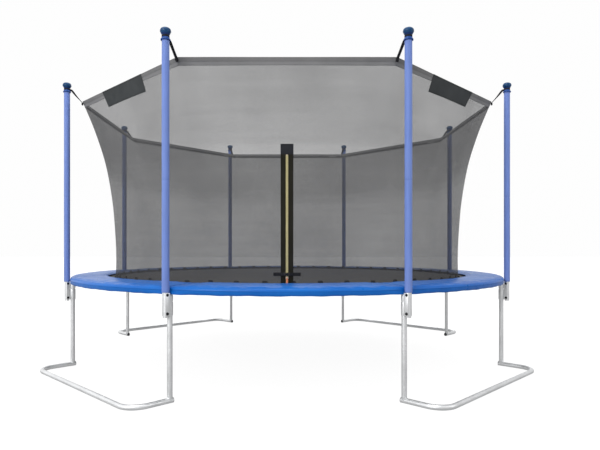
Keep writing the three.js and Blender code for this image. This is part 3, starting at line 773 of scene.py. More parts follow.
# ---------------------------------------------------------------- foam sleeves and caps
def sleeve_mesh(seed):
    g = np.random.default_rng(seed)
    zs = np.concatenate([[774, 774.6, 776.5, 780], np.linspace(786, 1540, 66), [1543.2, 1544.4, 1545, 1545.6, 1546.8], np.linspace(1550, 2492, 80), [2498, 2501.5, 2504, 2504.6]])
    n = 40
    a = np.arange(n) * 2 * math.pi / n
    r = np.full((len(zs), n), 26.0)
    r[0], r[1], r[-1], r[-2] = 23.2, 25.0, 23.2, 25.0
    r[(zs > 1543) & (zs < 1547)] -= 0.9
    r[np.abs(zs - 1545) < 0.1] -= 1.0
    Z, A = np.meshgrid(zs, a, indexing="ij")
    wob = np.zeros_like(r)
    for i in range(7):
        wob += g.uniform(0.05, 0.16) * np.sin(g.integers(1, 6) * A + g.uniform(0, 6.3)) * np.sin(Z / g.uniform(40, 190) + g.uniform(0, 6.3))
    # the welded seam of the cover, down the side that faces the net, with the cover drawn in a little beside it
    d = np.abs(((A - math.pi + math.pi) % (2 * math.pi)) - math.pi)
    wob += 0.9 * np.exp(-(d / 0.09) ** 2) - 0.7 * np.exp(-((d - 0.28) / 0.13) ** 2)
    inner = (zs > 775) & (zs < 2504)
    r[inner] += wob[inner]
    r = np.minimum(r, 26.35)
    outer = np.stack([POLE_R + r * np.cos(A), r * np.sin(A), Z], -1)
    bore = np.stack([POLE_R + 20.6 * np.cos(a), 20.6 * np.sin(a), 0 * a], -1)
    low, high = bore.copy(), bore.copy()
    low[:, 2], high[:, 2] = 774.2, 2504.4
    rows = np.concatenate([outer, high[None], low[None]])
    return Shape().add(rows.reshape(-1, 3), grid_quads(len(rows), n, wrap_u=True, wrap_v=True)).mesh(f"sleeve_{seed}", sharp=60)


cap = Shape()
flange = rounded([(15.0, 2505.2), (33.4, 2505.2), (33.9, 2506.4), (33.9, 2513.0), (31.6, 2516.0), (27.4, 2521.0), (26.2, 2525.0)], 1.2, False, 4)
neck = rounded([(25.6, 2524.6), (25.6, 2528.0), (24.6, 2533.0), (24.8, 2539.0), (27.6, 2545.0), (31.6, 2552.0)], 2.5, False, 4)
upper = [(31.4, 2551.6), (32.8, 2554.2), (34.3, 2557.2), (35.7, 2560.4), (36.8, 2563.8), (37.5, 2567.6)]
upper += [(37.6 * math.cos(t) ** 0.9, 2569.5 + 24.9 * math.sin(t) ** 0.85) for t in np.linspace(0, math.pi / 2 - 0.06, 22)] + [(0, 2594.4)]
shift = Matrix.Translation((POLE_R, 0, 0))
cap.add(*lathe([(0, 2461.5), (13.6, 2461.5), (15.0, 2463.2)] + [tuple(p) for p in flange] + [(0, 2525.2)], 48), mat=1, move=shift)
cap.add(*lathe([(0, 2524.6)] + [tuple(p) for p in neck] + [(0, 2552.2)], 48), mat=2, move=shift)
cap.add(*lathe([(0, 2551.6)] + [tuple(p) for p in upper], 48), mat=0, move=shift)
# grip ribs round the dome's rim
for i in range(24):
    a = i * 2 * math.pi / 24
    m = shift @ Matrix.Rotation(a, 4, "Z")
    cap.add(*block(35.6, 37.9, -1.1, 1.1, 2562.5, 2571.5, 0.5, 2), mat=0, move=m)
cap_mesh = cap.mesh("pole_cap", sharp=45)


# ---------------------------------------------------------------- corner straps
def strap_mesh():
    """A webbing loop round the cap's neck, sewn together close to it, and a doubled strap from there to the net's corner."""
    neck_r, z = 26.4, 2533.0
    turn_at = np.radians(np.linspace(132, -132, 33))
    ring = np.stack([POLE_R + neck_r * np.cos(turn_at), neck_r * np.sin(turn_at), np.full(33, z)], 1)
    meet = np.array([POLE_R - 41.0, 1.3, z - 6.5])
    end = np.array([2049.0, 1.3, 2424.0])
    hang = lambda f: np.array([0, 0, -3.0 * math.sin(math.pi * f)])
    run = [end + (meet - end) * f + hang(f) for f in np.linspace(0, 1, 12)]
    to_neck = [meet + (ring[0] - meet) * np.array([f, f**1.4, f]) for f in np.linspace(0, 1, 7)[1:-1]]
    half = [np.array([2043.5, 1.2, 2404.0]), np.array([2046.0, 1.3, 2414.0])] + run + to_neck
    path = np.array(half + list(ring) + [q * np.array([1, -1, 1]) for q in half[::-1]])
    # the band lies flat against the neck and turns its face outwards on its way to the corner
    n = len(half)
    side = np.zeros((len(path), 3))
    for i in range(len(path)):
        k = min(i, len(path) - 1 - i)
        f = 1.0 if k >= n - 1 else max(0.0, (k - 2) / (n - 3.0))
        a = rad(90 * (1 - (f * f * (3 - 2 * f))))
        mirror = 1 if i < len(path) / 2 else -1
        side[i] = (0, mirror * math.sin(a), math.cos(a))
    s = Shape()
    wide = 1.0 + 0.62 * np.array([min(1.0, max(0.0, (n - 1 - min(i, len(path) - 1 - i)) / 7.0)) for i in range(len(path))])
    s.add(*sweep(path, np.array([(y, x) for x, y in flat_band(12.5, 1.3, 0.4)])[::-1], up=side, scale=wide))
    # the tail is knotted where it leaves the hem
    s.add(*knot((2049.5, 0, 2415.0), 3.6, 4.0))
    # stitches that close the loop
    for f in (0.80, 0.88, 0.96):
        q = end + (meet - end) * f + hang(f)
        s.add(*sweep(np.array([q + (0, 0, 1.6) + np.array([0.6, y, 0.4]) for y in np.linspace(-6, 6, 5)]), circle(0.6, 6)))
    return s.mesh("corner_strap")


strap = strap_mesh()

for k in range(LEGS):
    n, at, side = k + 1, sector(k), 1 if k % 2 == 0 else -1
    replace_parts(put(f"ring_arc_{n}", arc_mesh, [M_STEEL], at=at), f"frame_arc_{n}")
    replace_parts(put(f"upright_{n}", upright_mesh, [M_STEEL], at=at), f"leg_upright_{n}")
    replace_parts(put(f"pole_tube_{n}", pole_mesh, [M_STEEL], at=at), f"net_pole_{n}")
    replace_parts(put(f"bracket_{n}", bracket[side], [M_STEEL], at=at), f"pole_bracket_{n}")
    key = (side, HEAD_SIDE[k])
    if key not in bolts:
        bolts[key] = bolt_mesh(*key)
    put(f"bracket_bolts_{n}", bolts[key], [M_BOLT], at=at)
    sl = put(f"foam_sleeve_{n}", sleeve_mesh(100 + k), [M_FOAM], at=at)
    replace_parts(sl, f"pole_sleeve_{n}")
    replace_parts(put(f"cap_{n}", cap_mesh, [M_CAP, M_FLANGE, M_NECK], at=at), f"pole_cap_{n}")
    put(f"corner_strap_{n}", strap, [M_WEB], at=at)
for b in range(4):
    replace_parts(put(f"base_tube_{b + 1}", base_mesh, [M_STEEL, M_PLUG], at=turn_z(45 + 90 * b - 90)), f"leg_base_{b + 1}")


# ---------------------------------------------------------------- edge pad
def inflated(points, loose, pressure=4.0, grow=0.035, cap=0.010, frames=20):
    """Blows up one section of the pad as cloth: points is columns x rows x 3 in metres, loose says how free each row is."""
    cols, rows = points.shape[:2]
    s = Shape().add(points.reshape(-1, 3) / MM, grid_quads(cols, rows, wrap_v=True))
    o = bpy.data.objects.new("section", s.mesh("section", sharp=0))
    bpy.context.scene.collection.objects.link(o)
    hold = np.tile(1 - np.asarray(loose, float), (cols, 1))
    hold[[0, 1, -2, -1]] = 1
    pin = o.vertex_groups.new(name="pin")
    for i, w in enumerate(hold.ravel()):
        if w > 0:
            pin.add([i], float(w), "REPLACE")
    mod = o.modifiers.new("cloth", "CLOTH")
    cs = mod.settings
    cs.quality, cs.mass, cs.vertex_group_mass = 6, 0.003, "pin"
    cs.tension_stiffness, cs.compression_stiffness, cs.shear_stiffness, cs.bending_stiffness = 12.0, 12.0, 4.0, 0.02
    cs.use_pressure, cs.uniform_pressure_force, cs.shrink_min = True, pressure, -grow
    cs.effector_weights.gravity = 0
    mod.collision_settings.use_collision = mod.collision_settings.use_self_collision = False
    mod.point_cache.frame_start, mod.point_cache.frame_end = 1, frames
    for f in range(1, frames + 1):
        bpy.context.scene.frame_set(f)
    ev = o.evaluated_get(bpy.context.evaluated_depsgraph_get())
    out = np.zeros(cols * rows * 3, np.float32)
    ev.data.vertices.foreach_get("co", out)
    bpy.context.scene.frame_set(1)
    me = o.data
    bpy.data.objects.remove(o)
    bpy.data.meshes.remove(me)
    d = out.reshape(cols, rows, 3) - points
    size = np.linalg.norm(d, axis=2, keepdims=True)
    return d * np.tanh(size / cap) * cap / np.maximum(size, 1e-9)


def pad():
    per, n_s = 84, 8
    n = per * n_s
    az = (np.arange(n) + 0.5) * 360 / n
    u = ((az - 22.5) % 45) / 45                     # along a section, whose seams are under the poles
    g = np.random.default_rng(11)
    edge = np.minimum(u, 1 - u)
    seam = 1 - np.exp(-(edge / 0.012) ** 2) * 0.75
    # the foam stands out a little between the poles and is pressed in where it meets them
    free = np.clip((edge - 0.035) / 0.10, 0, 1)
    free = free * free * (3 - 2 * free)
    # cross-section from the inner bottom edge over the top and down the skirt, each (r, z, crown weight, bulge weight)
    prof = []
    r_in, r_out, z_t, roll, fall = 1819.5, 2152.4, 820.0, 22.0, 6.0
    for f in np.linspace(0, 1, 4):
        prof.append((r_in + 9 * (1 - f), 808.6 + 1.0 * f, 0, 0))
    for a in np.linspace(-90, 90, 9)[1:]:
        prof.append((r_in + 6.5 - 6.5 * math.cos(rad(a)), 814.8 + 5.2 * math.sin(rad(a)), 0, 0))
    for f in np.linspace(0, 1, 30)[1:]:
        prof.append((r_in + 6.5 + (r_out - roll - r_in - 6.5) * f, z_t - fall * f * f, 1.0, 0.5 * max(0.0, f - 0.9) * 10))
    z_t -= fall
    for a in np.linspace(90, 0, 11)[1:]:
        prof.append((r_out - roll + roll * math.cos(rad(a)), z_t - roll + roll * math.sin(rad(a)), 0, 0.5 + 0.5 * math.cos(rad(a))))
    z_r, z_b = z_t - roll, 757.5
    for f in np.linspace(0, 1, 12)[1:]:
        prof.append((r_out, z_r + (z_b - z_r) * f, -f, math.cos(f * math.pi / 2) - 0.45 * max(0.0, f - 0.35)))
    prof.append((r_out - 1.4, z_b - 0.5, -1.0, -0.3))
    for f in np.linspace(0, 1, 8)[1:]:
        prof.append((r_out - 2.0 - 2.5 * max(0.0, f - 0.8) * 5, z_b + 0.8 + (z_r - 1 - z_b) * f, -(1 - f), 0.85 * (math.cos((1 - f) * math.pi / 2) - 0.45 * max(0.0, 0.65 - f))))
    for f in np.linspace(0, 1, 12)[1:]:
        prof.append((r_out - 15 - (r_out - 15 - r_in - 12) * f, 808.4 + 1.0 * math.sin(math.pi * f), 0, 0))
    prof = np.array(prof)
    m = len(prof)
    R = np.repeat(prof[:, 0][None], n, 0)
    Z = np.repeat(prof[:, 1][None], n, 0)
    W = np.repeat(prof[:, 2][None], n, 0)
    B = np.repeat(prof[:, 3][None], n, 0)
    A = np.repeat(az[:, None], m, 1)
    U = np.repeat(u[:, None], m, 1)
    S = np.repeat(seam[:, None], m, 1)
    F = np.repeat(free[:, None], m, 1)
    across = np.clip((R - r_in) / (r_out - r_in), 0, 1)
    top = W > 0.5
    crown = 3.5 * np.sqrt(np.clip(4 * across * (1 - across), 0, 1)) ** 1.2
    ar = np.radians(A)
    # puckers that fade from the sewn edges, slow billows in between
    ph = g.uniform(0, 6.3, 12)
    pucker_in = np.exp(-across / 0.10) * (np.sin(ar * 296 + 2.4 * np.sin(ar * 37 + ph[0])) * 0.9 + np.sin(ar * 173 + ph[1]) * 0.6)
    pucker_out = np.exp(-(1 - across) / 0.09) * (np.sin(ar * 262 + 2.1 * np.sin(ar * 29 + ph[2])) * 0.7 + np.sin(ar * 141 + ph[3]) * 0.5)
    billow = 0.9 * np.sin(ar * 24 + ph[4]) * np.sin(across * 5 + ph[5]) + 0.8 * np.sin(ar * 57 + 3 * across + ph[6]) + 0.5 * np.sin(ar * 91 - 5 * across + ph[7])
    near_seam = np.exp(-(np.minimum(U, 1 - U) / 0.05) ** 2)
    pull = near_seam * 1.1 * np.sin(across * 34 + ph[8] + 1.5 * np.sin(U * 80))
    dz = crown * S + pucker_in + pucker_out + billow * np.clip(4 * across * (1 - across), 0, 1) + pull * 0.8
    dz -= (1 - S) * 3.2
    droop = 4.5 * np.sin(math.pi * U) ** 2 * np.exp(-across / 0.13)
    dz -= droop
    Z[top] += dz[top]
    side = (W == 0) & (Z > 803)
    Z[side & (R < 1860)] -= droop[side & (R < 1860)]
    Z[side] -= ((1 - S) * 2.0)[side]
    inner = side & (R < 1900)
    R[inner] += (1.4 * np.sin(ar * 31 + ph[9]) + 0.9 * np.sin(ar * 83 + ph[10]))[inner] + 1.6
    # skirt: hangs, gathered a little by the elastic in its hem
    low = W < 0
    wave = (0.9 * np.sin(ar * 76 + 1.2 * np.sin(ar * 17)) + 0.7 * np.sin(ar * 131 + ph[11])) * -W
    R += 7.5 * B * F + np.where(low, wave * F * 0.9, 0)
    Z[low] += (-W * (1.2 * np.sin(ar * 40 + ph[3]) + 0.8 * np.sin(ar * 97 + ph[6])) + -W * 1.4)[low]
    R = np.where(F < 0.02, np.minimum(R, 2153.2), R)
    verts = np.stack([R * np.sin(ar), -R * np.cos(ar), Z], -1)
    # one section is blown up as cloth, and its shape is laid on the others, every second one turned round
    first = first_column(u, az)
    cut = slice(first, first + per + 1)
    loose = np.where(prof[:, 2] > 0.5, 1.0, 0.0)
    rows = np.arange(m)
    loose[8:12] = 0.6
    top_end = int(np.where(prof[:, 2] > 0.5)[0][-1])
    loose[top_end:top_end + 11] = 1.0
    loose[top_end + 11:top_end + 20] = np.linspace(1.0, 0.15, 9)
    d = inflated(verts[cut] * MM, loose, cap=0.006) / MM
    a0 = ar[cut]
    dr = d[..., 0] * np.sin(a0) - d[..., 1] * np.cos(a0)
    dt = d[..., 0] * np.cos(a0) + d[..., 1] * np.sin(a0)
    dz = d[..., 2]
    # the cover only ever stands out from the foam and from its own lining
    dz[:, loose > 0.99] = np.maximum(dz[:, loose > 0.99], -0.8)
    out_rows = np.arange(top_end, top_end + 22)
    dr[:, out_rows] = np.maximum(dr[:, out_rows], -0.2)
    dz[:, out_rows[1:]] = np.maximum(dz[:, out_rows[1:]], -0.2) * np.linspace(1, 0, 21)
    for j in range(n_s):
        c = np.arange(per)
        to = (first + j * per + c) % n
        src = c if j % 2 == 0 else per - c
        k = (0.85 + 0.3 * g.random()) * np.clip(F[to] * 1.4, 0, 1)
        R[to] += dr[src] * k
        Z[to] += dz[src] * k
        ar[to] += (1 if j % 2 == 0 else -1) * dt[src] * k / R[to]
    verts = np.stack([R * np.sin(ar), -R * np.cos(ar), Z], -1)
    s = Shape()
    q = grid_quads(n, m, wrap_u=True, wrap_v=True)
    under = (np.arange(len(q)) % m) >= m - 12
    s.add(verts.reshape(-1, 3), q[~under], mat=0)
    s.v.append(np.zeros((0, 3)))
    s.q.append(q[under])
    s.qm.append(np.full(under.sum(), 1))
    return s, verts, np.array([first_column(u, az) + j * per for j in range(n_s)]) % n


def first_column(u, az):
    return int(np.argmin(u + (az < 22.5) * 9))


pad_shape, pad_points, pad_seams = pad()
pad_obj = put("edge_pad", pad_shape, [M_PAD, M_UNDER])
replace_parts(pad_obj, "safety_pad")

# rows of stitches sewn through the cover: inside its inner edge, along the top of the skirt, in the hem, and
# on both sides of the seams between its sections
def stitch_line(points, closed, lift, r=0.75):
    p = np.asarray(points, float)
    q = np.concatenate([p, p[:1]]) if closed else p
    at = np.concatenate([[0], np.cumsum(np.linalg.norm(np.diff(q, axis=0), axis=1))])
    count = max(8, int(at[-1] / 4.0) // 4 * 4)
    x = np.linspace(0, at[-1], count, endpoint=not closed)
    fine = np.stack([np.interp(x, at, q[:, i]) for i in range(3)], 1)
    up = np.stack([np.interp(x, at, np.concatenate([lift, lift[:1]])[:, i] if closed else lift[:, i]) for i in range(3)], 1)
    up /= np.linalg.norm(up, axis=1, keepdims=True)
    fine += up * (0.25 + 0.45 * np.cos(np.arange(count) * math.pi / 2))[:, None]
    return sweep(fine, circle(r, 5), closed=closed, up=up)


def pad_normals():
    a = np.roll(pad_points, -1, 0) - np.roll(pad_points, 1, 0)
    b = np.roll(pad_points, -1, 1) - np.roll(pad_points, 1, 1)
    return np.cross(b, a)


facing = pad_normals()
sewn = Shape()
for row in (14, 51, 60):
    sewn.add(*stitch_line(pad_points[:, row], True, facing[:, row]))
for c in pad_seams:
    for column in (int(c) - 1, int(c)):
        sewn.add(*stitch_line(pad_points[column, 11:62], False, facing[column, 11:62]))
put("pad_stitching", sewn, [M_SEW])

# elastic ties round the ring tube
ties = Shape()
for i in range(32):
    a = round((i + 0.5) * 11.25 / 4.5) * 4.5
    ar = rad(a)
    t = np.linspace(0, 2 * math.pi, 29)[:-1]
    rr = RING_R + 19.7 * np.cos(t)
    zz = RING_Z + 19.7 * np.sin(t)
    ties.add(*sweep(np.stack([rr * math.sin(ar), -rr * math.cos(ar), zz], 1), np.array(flat_band(9.0, 0.9, 0.3)), closed=True,
                    up=np.stack([np.cos(t) * math.sin(ar), -np.cos(t) * math.cos(ar), np.sin(t)], 1)))
put("pad_ties", ties, [M_WEB])


# ---------------------------------------------------------------- mat
def disc(name, r, z_top, z_bot, rings, n, sag):
    rs = np.linspace(0, r, rings + 1)[1:]
    a = np.arange(n) * 2 * math.pi / n
    def layer(z, flip):
        v = [np.array([[0, 0, z - sag]])]
        for q in rs:
            v.append(np.stack([q * np.cos(a), q * np.sin(a), np.full(n, z - sag * math.cos(math.pi / 2 * q / r) ** 2)], 1))
        return np.concatenate(v)
    i = np.arange(n)
    j = (i + 1) % n
    quads = [np.stack([1 + k * n + i, 1 + (k + 1) * n + i, 1 + (k + 1) * n + j, 1 + k * n + j], 1) for k in range(rings - 1)]
    quads = np.concatenate(quads)
    tris = np.stack([np.zeros(n, int), 1 + i, 1 + j], 1)
    top, bot = layer(z_top, False), layer(z_bot, True)
    off = len(top)
    last = 1 + (rings - 1) * n
    rim = np.stack([last + i, off + last + i, off + last + j, last + j], 1)
    s = Shape()
    s.add(np.concatenate([top, bot]), np.concatenate([quads, quads[:, ::-1] + off, rim]), np.concatenate([tris, tris[:, ::-1] + off]))
    return s


mat_obj = put("mat_sheet", disc("mat", 1860, 797.0, 795.2, 40, 160, 3.0), [M_MAT], "mat")
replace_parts(mat_obj, "jump_mat")

edge = Shape()
edge.add(*lathe([(p[0], p[1]) for p in [(1824, 794.3), (1861.5, 794.3), (1863.6, 796.0), (1861.5, 798.1), (1824, 798.1)]], 320, True))
n = 1200
for r in (1828.0, 1843.0, 1857.0):
    a = (np.arange(n) + 0.5 * (r > 1840)) * 2 * math.pi / n
    # a line of thread, rising over each stitch and dipping at each hole
    z = 798.3 + 0.35 * np.cos(a * n / 4)
    edge.add(*sweep(np.stack([r * np.cos(a), r * np.sin(a), z], 1), circle(0.55, 4), closed=True, up=(0, 0, 1)), mat=1)
edge_obj = put("mat_edge_webbing", edge, [M_WEBX, M_THREAD], "mat")

rings = Shape()
for i in range(80):
    m = turn_z((i + 0.5) * 4.5 - 90)
    tri = np.array(rounded([(1850, -19, 796.2), (1850, 19, 796.2), (1879.4, 0, 796.2)], 5.0, True, 5))
    rings.add(*sweep(tri, circle(1.9, 7), closed=True, up=(0, 0, 1)), move=m)
rings_obj = put("mat_rings", rings, [M_SPRING], "mat")


# ---------------------------------------------------------------- springs
def spring_path():
    r_coil, turns, steps = 10.5, 36, 10
    x0, x1 = 1898.0, 2084.0
    pts = []
    # hook round the triangular ring
    for a in np.linspace(200, -10, 12):
        pts.append((1883.0 + 6.5 * math.cos(rad(a)) - 2.0, 0.0, 796.2 + 6.5 * math.sin(rad(a))))
    pts.append((1891.5, 0.0, 796.0))
    n = turns * steps
    for i in range(n + 1):
        f = i / n
        r = r_coil * min(1.0, 0.30 + f * 12, 0.30 + (1 - f) * 12)
        a = 2 * math.pi * i / steps - math.pi / 2
        pts.append((x0 + (x1 - x0) * f, r * math.cos(a), 796.0 + r * math.sin(a)))
    # hook into the slot of the ring tube
    pts.append((2092.0, 0.0, 796.5))
    pts.append((2102.0, 0.0, 797.0))
    for a in np.linspace(90, -20, 8):
        pts.append((2111.0 + 6.0 * math.cos(rad(a)), 0.0, 791.5 + 6.0 * math.sin(rad(a))))
    return np.array(pts)


sp = spring_path()
sp_v, sp_q, sp_t = sweep(sp, circle(1.45, 6))
for g in range(20):
    s = Shape()
    for i in range(4):
        s.add(sp_v, sp_q, sp_t, move=turn_z((g * 4 + i + 0.5) * 4.5 - 90))
    mid = rad((g * 4 + 2) * 4.5)
    o = put(f"springs_{g + 1:02d}", s, [M_SPRING], None)
    if g == 0:
        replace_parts(o, "springs")
    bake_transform(o)


# ---------------------------------------------------------------- net
def net():
    per, rows = 48, 80
    n = per * 8
    az = np.arange(n) * 360 / n
    zs = NET_FOOT + (NET_TOP - NET_FOOT) * np.linspace(0, 1, rows + 1)
    A, Z = np.meshgrid(az, zs, indexing="ij")
    v = on_net(A, Z)
    return Shape().add(v.reshape(-1, 3), grid_quads(n, rows + 1, wrap_u=True)), v


net_shape, net_points = net()
net_obj = put("net_panels", net_shape.mesh("net_panels", sharp=0), [M_NET], None)


def net_band(z0, z1, out, thick, steps=6, per=48, a0=None, a1=None, n=None, seed=None):
    """A strip of cloth laid on the net from height z0 to z1, closed round the net or from azimuth a0 to a1."""
    closed = a0 is None
    if closed:
        n = per * 8
        az = np.arange(n) * 360 / n
    else:
        az = np.linspace(a0, a1, n + 1)
    zs = np.linspace(z0, z1, steps + 1)
    lip = thick * 0.5
    sec = [(z, out + thick) for z in zs] + [(z1 + lip * 0.7, out + thick * 0.5)] + [(z, out) for z in zs[::-1]] + [(z0 - lip * 0.7, out + thick * 0.5)]
    m = len(sec)
    V = np.zeros((len(az), m, 3))
    for j, (z, o) in enumerate(sec):
        V[:, j] = on_net(az, np.full(len(az), min(float(z), NET_TOP)), o)
        V[:, j, 2] = z
    verts = V.reshape(-1, 3)
    q = grid_quads(len(az), m, wrap_u=closed, wrap_v=True)
    tris = None
    if not closed:
        i = np.arange(m)
        j = (i + 1) % m
        c0, c1, last = len(verts), len(verts) + 1, (len(az) - 1) * m
        verts = np.concatenate([verts, verts[:m].mean(0)[None], verts[last:last + m].mean(0)[None]])
        tris = np.concatenate([np.stack([np.full(m, c0), j, i], 1), np.stack([last + i, last + j, np.full(m, c1)], 1)])
    return verts, q, tris


hem = Shape()
hem.add(*net_band(2408, 2437.0, 0.3, 1.7), mat=0)
hem.add(*net_band(2408, 2437.0, -2.2, 1.7), mat=0)
hem.add(*net_band(2382, 2409, 0.3, 0.9), mat=1)
for z in (2385.0, 2411.0, 2433.0):
    nn = 1920
    az = np.arange(nn) * 360 / nn
    p = on_net(az, np.full(nn, min(z, NET_TOP)), 2.2 if z > 2400 else 1.4)
    p[:, 2] = z
    out = p.copy()
    out[:, 2] = 0
    out /= np.linalg.norm(out, axis=1, keepdims=True)
    p += out * (0.3 * np.cos(np.arange(nn) * math.pi / 2))[:, None]
    hem.add(*sweep(p, circle(0.6, 4), closed=True, up=(0, 0, 1)), mat=2)
hem_obj = put("net_top_hem", hem, [M_HEM, M_HEM2, M_GREY], "frame")

P_LOW, P_TOP = 2302.0, 2437.4
for i, (t0, t1, b0, b1) in enumerate(((-56.25, -36.5, -54.9, -35.8), (36.7, 56.6, 35.9, 54.9))):
    def span(z):
        f = (z - P_LOW) / (P_TOP - P_LOW)
        return b0 + (t0 - b0) * f, b1 + (t1 - b1) * f

    def cloth_piece(z0, z1, f0, f1, out, thick, steps, n):
        """A piece of the patch between two heights and two shares of its width."""
        zs = np.linspace(z0, z1, steps + 1)
        rows = [(z, out + thick) for z in zs] + [(z1 + thick * 0.3, out + thick * 0.5)] + [(z, out) for z in zs[::-1]] + [(z0 - thick * 0.3, out + thick * 0.5)]
        m = len(rows)
        V = np.zeros((n + 1, m, 3))
        for j, (z, o) in enumerate(rows):
            a0, a1 = span(z)
            az = a0 + (a1 - a0) * np.linspace(f0, f1, n + 1)
            V[:, j] = on_net(az, np.full(n + 1, min(float(z), NET_TOP)), o)
            V[:, j, 2] = z
        verts = V.reshape(-1, 3)
        k = np.arange(m)
        l = (k + 1) % m
        c0, c1, last = len(verts), len(verts) + 1, n * m
        verts = np.concatenate([verts, verts[:m].mean(0)[None], verts[last:last + m].mean(0)[None]])
        return verts, grid_quads(n + 1, m, wrap_v=True), np.concatenate([np.stack([np.full(m, c0), l, k], 1), np.stack([last + k, last + l, np.full(m, c1)], 1)])

    s = Shape()
    s.add(*cloth_piece(P_LOW, P_TOP, 0, 1, 2.2, 1.3, 14, 40), mat=0)
    # a folded border, sewn down
    s.add(*cloth_piece(P_LOW, P_LOW + 8, 0, 1, 3.4, 0.8, 2, 40), mat=0)
    s.add(*cloth_piece(P_TOP - 8, P_TOP, 0, 1, 3.4, 0.8, 2, 40), mat=0)
    s.add(*cloth_piece(P_LOW, P_TOP, 0, 0.013, 3.4, 0.8, 14, 2), mat=0)
    s.add(*cloth_piece(P_LOW, P_TOP, 0.987, 1, 3.4, 0.8, 14, 2), mat=0)
    for z in (P_LOW + 9.4, P_TOP - 9.4):
        nn = 300
        a0, a1 = span(z)
        p = on_net(a0 + (a1 - a0) * np.linspace(0.015, 0.985, nn), np.full(nn, min(z, NET_TOP)), 3.9)
        p[:, 2] = z
        out = p / np.linalg.norm(p, axis=1, keepdims=True)
        p += out * (0.3 * np.cos(np.arange(nn) * math.pi / 2))[:, None]
        s.add(*sweep(p, circle(0.55, 4), up=(0, 0, 1)), mat=1)
    put(f"net_patch_{i + 1}", s, [M_PATCH, M_THREAD], "frame")

foot_hem = Shape().add(*net_band(803.4, 813, -1.4, 2.6, steps=3))
foot_obj = put("net_foot_hem", foot_hem, [M_WEBX], "mat")

tabs = Shape()
TIES = 52
for i in range(TIES):
    a = i * 360 / TIES + 1.4 + rng.uniform(-0.25, 0.25)
    w = rng.uniform(22, 27)
    tall = rng.uniform(33, 39)
    # a folded tab of webbing that stands against the net's inner face, and its short end outside, under the cord
    span_az = a + np.degrees(np.linspace(-w, w, 9) / 1750)
    face = min(float(net_radius(span_az, np.full(9, z)).min()) for z in (803.0, 812.0, 824.0, 836.0)) - 2.6
    path = np.array([[face - 10, 0, 798.6], [face - 6.2, 0, 803.0], [face - 2.8, 0, 810.5], [face - 0.6, 0, 823.0], [face, 0, 798 + tall]])
    tabs.add(*sweep(path, np.array([(x, y) for x, y in flat_band(2 * w, 2.2, 0.8)]), scale=[1.0, 1.0, 0.97, 0.86, 0.68]), move=turn_z(a - 90))
    path = np.array([[1756.2, 0, 812.5], [1757.4, 0, 807.0], [1759.4, 0, 802.0], [1764.5, 0, 798.6]])
    tabs.add(*sweep(path, np.array([(x, y) for x, y in flat_band(1.7 * w, 2.0, 0.8)]), up=(1, 0, 0.3), scale=[0.8, 0.95, 1.0, 1.0]), move=turn_z(a - 90))
# the cord that ties the tabs down: it runs over each tab's foot and lies on the mat in between
n = 1560
a = np.arange(n) * 2 * math.pi / n
phase = (np.degrees(a) - 1.4) / (360 / TIES)
lift = 0.5 + 0.5 * np.cos(2 * math.pi * phase)
rr = 1758.5 + 4.5 * np.cos(2 * math.pi * phase)
tabs.add(*sweep(np.stack([rr * np.sin(a), -rr * np.cos(a), 800.6 + 5.0 * lift**3], 1), circle(2.9, 8), closed=True, up=(0, 0, 1)), mat=1)
tabs_obj = put("net_foot_ties", tabs, [M_WEB, M_THREAD], "mat")


# ---------------------------------------------------------------- zip door and buckle
DOOR_MM = Matrix.Translation((0, -1746, 803)) @ Matrix.Rotation(DOOR_LEAN, 4, "X")


def strip(x0, x1, z0, z1, y, thick, nz=60, wobble=0.0, seed=3):
    """A thin woven strip in the door's frame with soft edges."""
    g = np.random.default_rng(seed)
    zs = np.linspace(z0, z1, nz + 1)
    wob = wobble * (np.sin(zs / 61 + g.uniform(0, 6)) + 0.6 * np.sin(zs / 27 + g.uniform(0, 6)))
    e = thick * 0.5
    sec = np.array([(x0, 0), (x0 + e, -e), (x0 + (x1 - x0) * 0.33, -e), (x0 + (x1 - x0) * 0.66, -e), (x1 - e, -e), (x1, 0), (x1 - e, e), (x0 + (x1 - x0) * 0.66, e), (x0 + (x1 - x0) * 0.33, e), (x0 + e, e)])
    V = np.zeros((len(zs), len(sec), 3))
    V[:, :, 0] = sec[None, :, 0] + wob[:, None] * 0.5
    V[:, :, 1] = y + sec[None, :, 1] + (wob[:, None] * 0.3)
    V[:, :, 2] = zs[:, None]
    verts = V.reshape(-1, 3)
    m = len(sec)
    i = np.arange(m)
    j = (i + 1) % m
    q = grid_quads(len(zs), m, wrap_v=True)
    c0, c1, last = len(verts), len(verts) + 1, (len(zs) - 1) * m
    verts = np.concatenate([verts, verts[:m].mean(0)[None], verts[last:].mean(0)[None]])
    tris = np.concatenate([np.stack([np.full(m, c0), j, i], 1), np.stack([last + i, last + j, np.full(m, c1)], 1)])
    return verts, q, tris


tape = Shape()
tape.add(*strip(-46.5, -2.2, 5, 968, -1.9, 1.3, 90, 0.25, 3), mat=0, move=DOOR_MM)
tape.add(*strip(2.2, 46.5, 5, 968, -1.9, 1.3, 90, 0.25, 4), mat=0, move=DOOR_MM)
tape.add(*strip(-47.5, 47.5, 962, 1038, -3.0, 1.5, 12, 0.2, 5), mat=1, move=DOOR_MM)      # folded cloth over the zip's top end
for x in (-44.6, -41.8, -14.5, 14.5, 41.8, 44.6):
    zs = np.arange(8, 960, 2.0)
    tape.add(*sweep(np.stack([np.full(len(zs), x), -2.75 - 0.3 * np.cos(zs * math.pi / 4), zs], 1), circle(0.5, 4), up=(0, -1, 0)), mat=3, move=DOOR_MM)
for z in (966, 1034):
    xs = np.arange(-45, 45.1, 1.5)
    tape.add(*sweep(np.stack([xs, -3.95 - 0.3 * np.cos(xs * math.pi / 3), np.full(len(xs), z)], 1), circle(0.5, 4), up=(0, -1, 0)), mat=3, move=DOOR_MM)
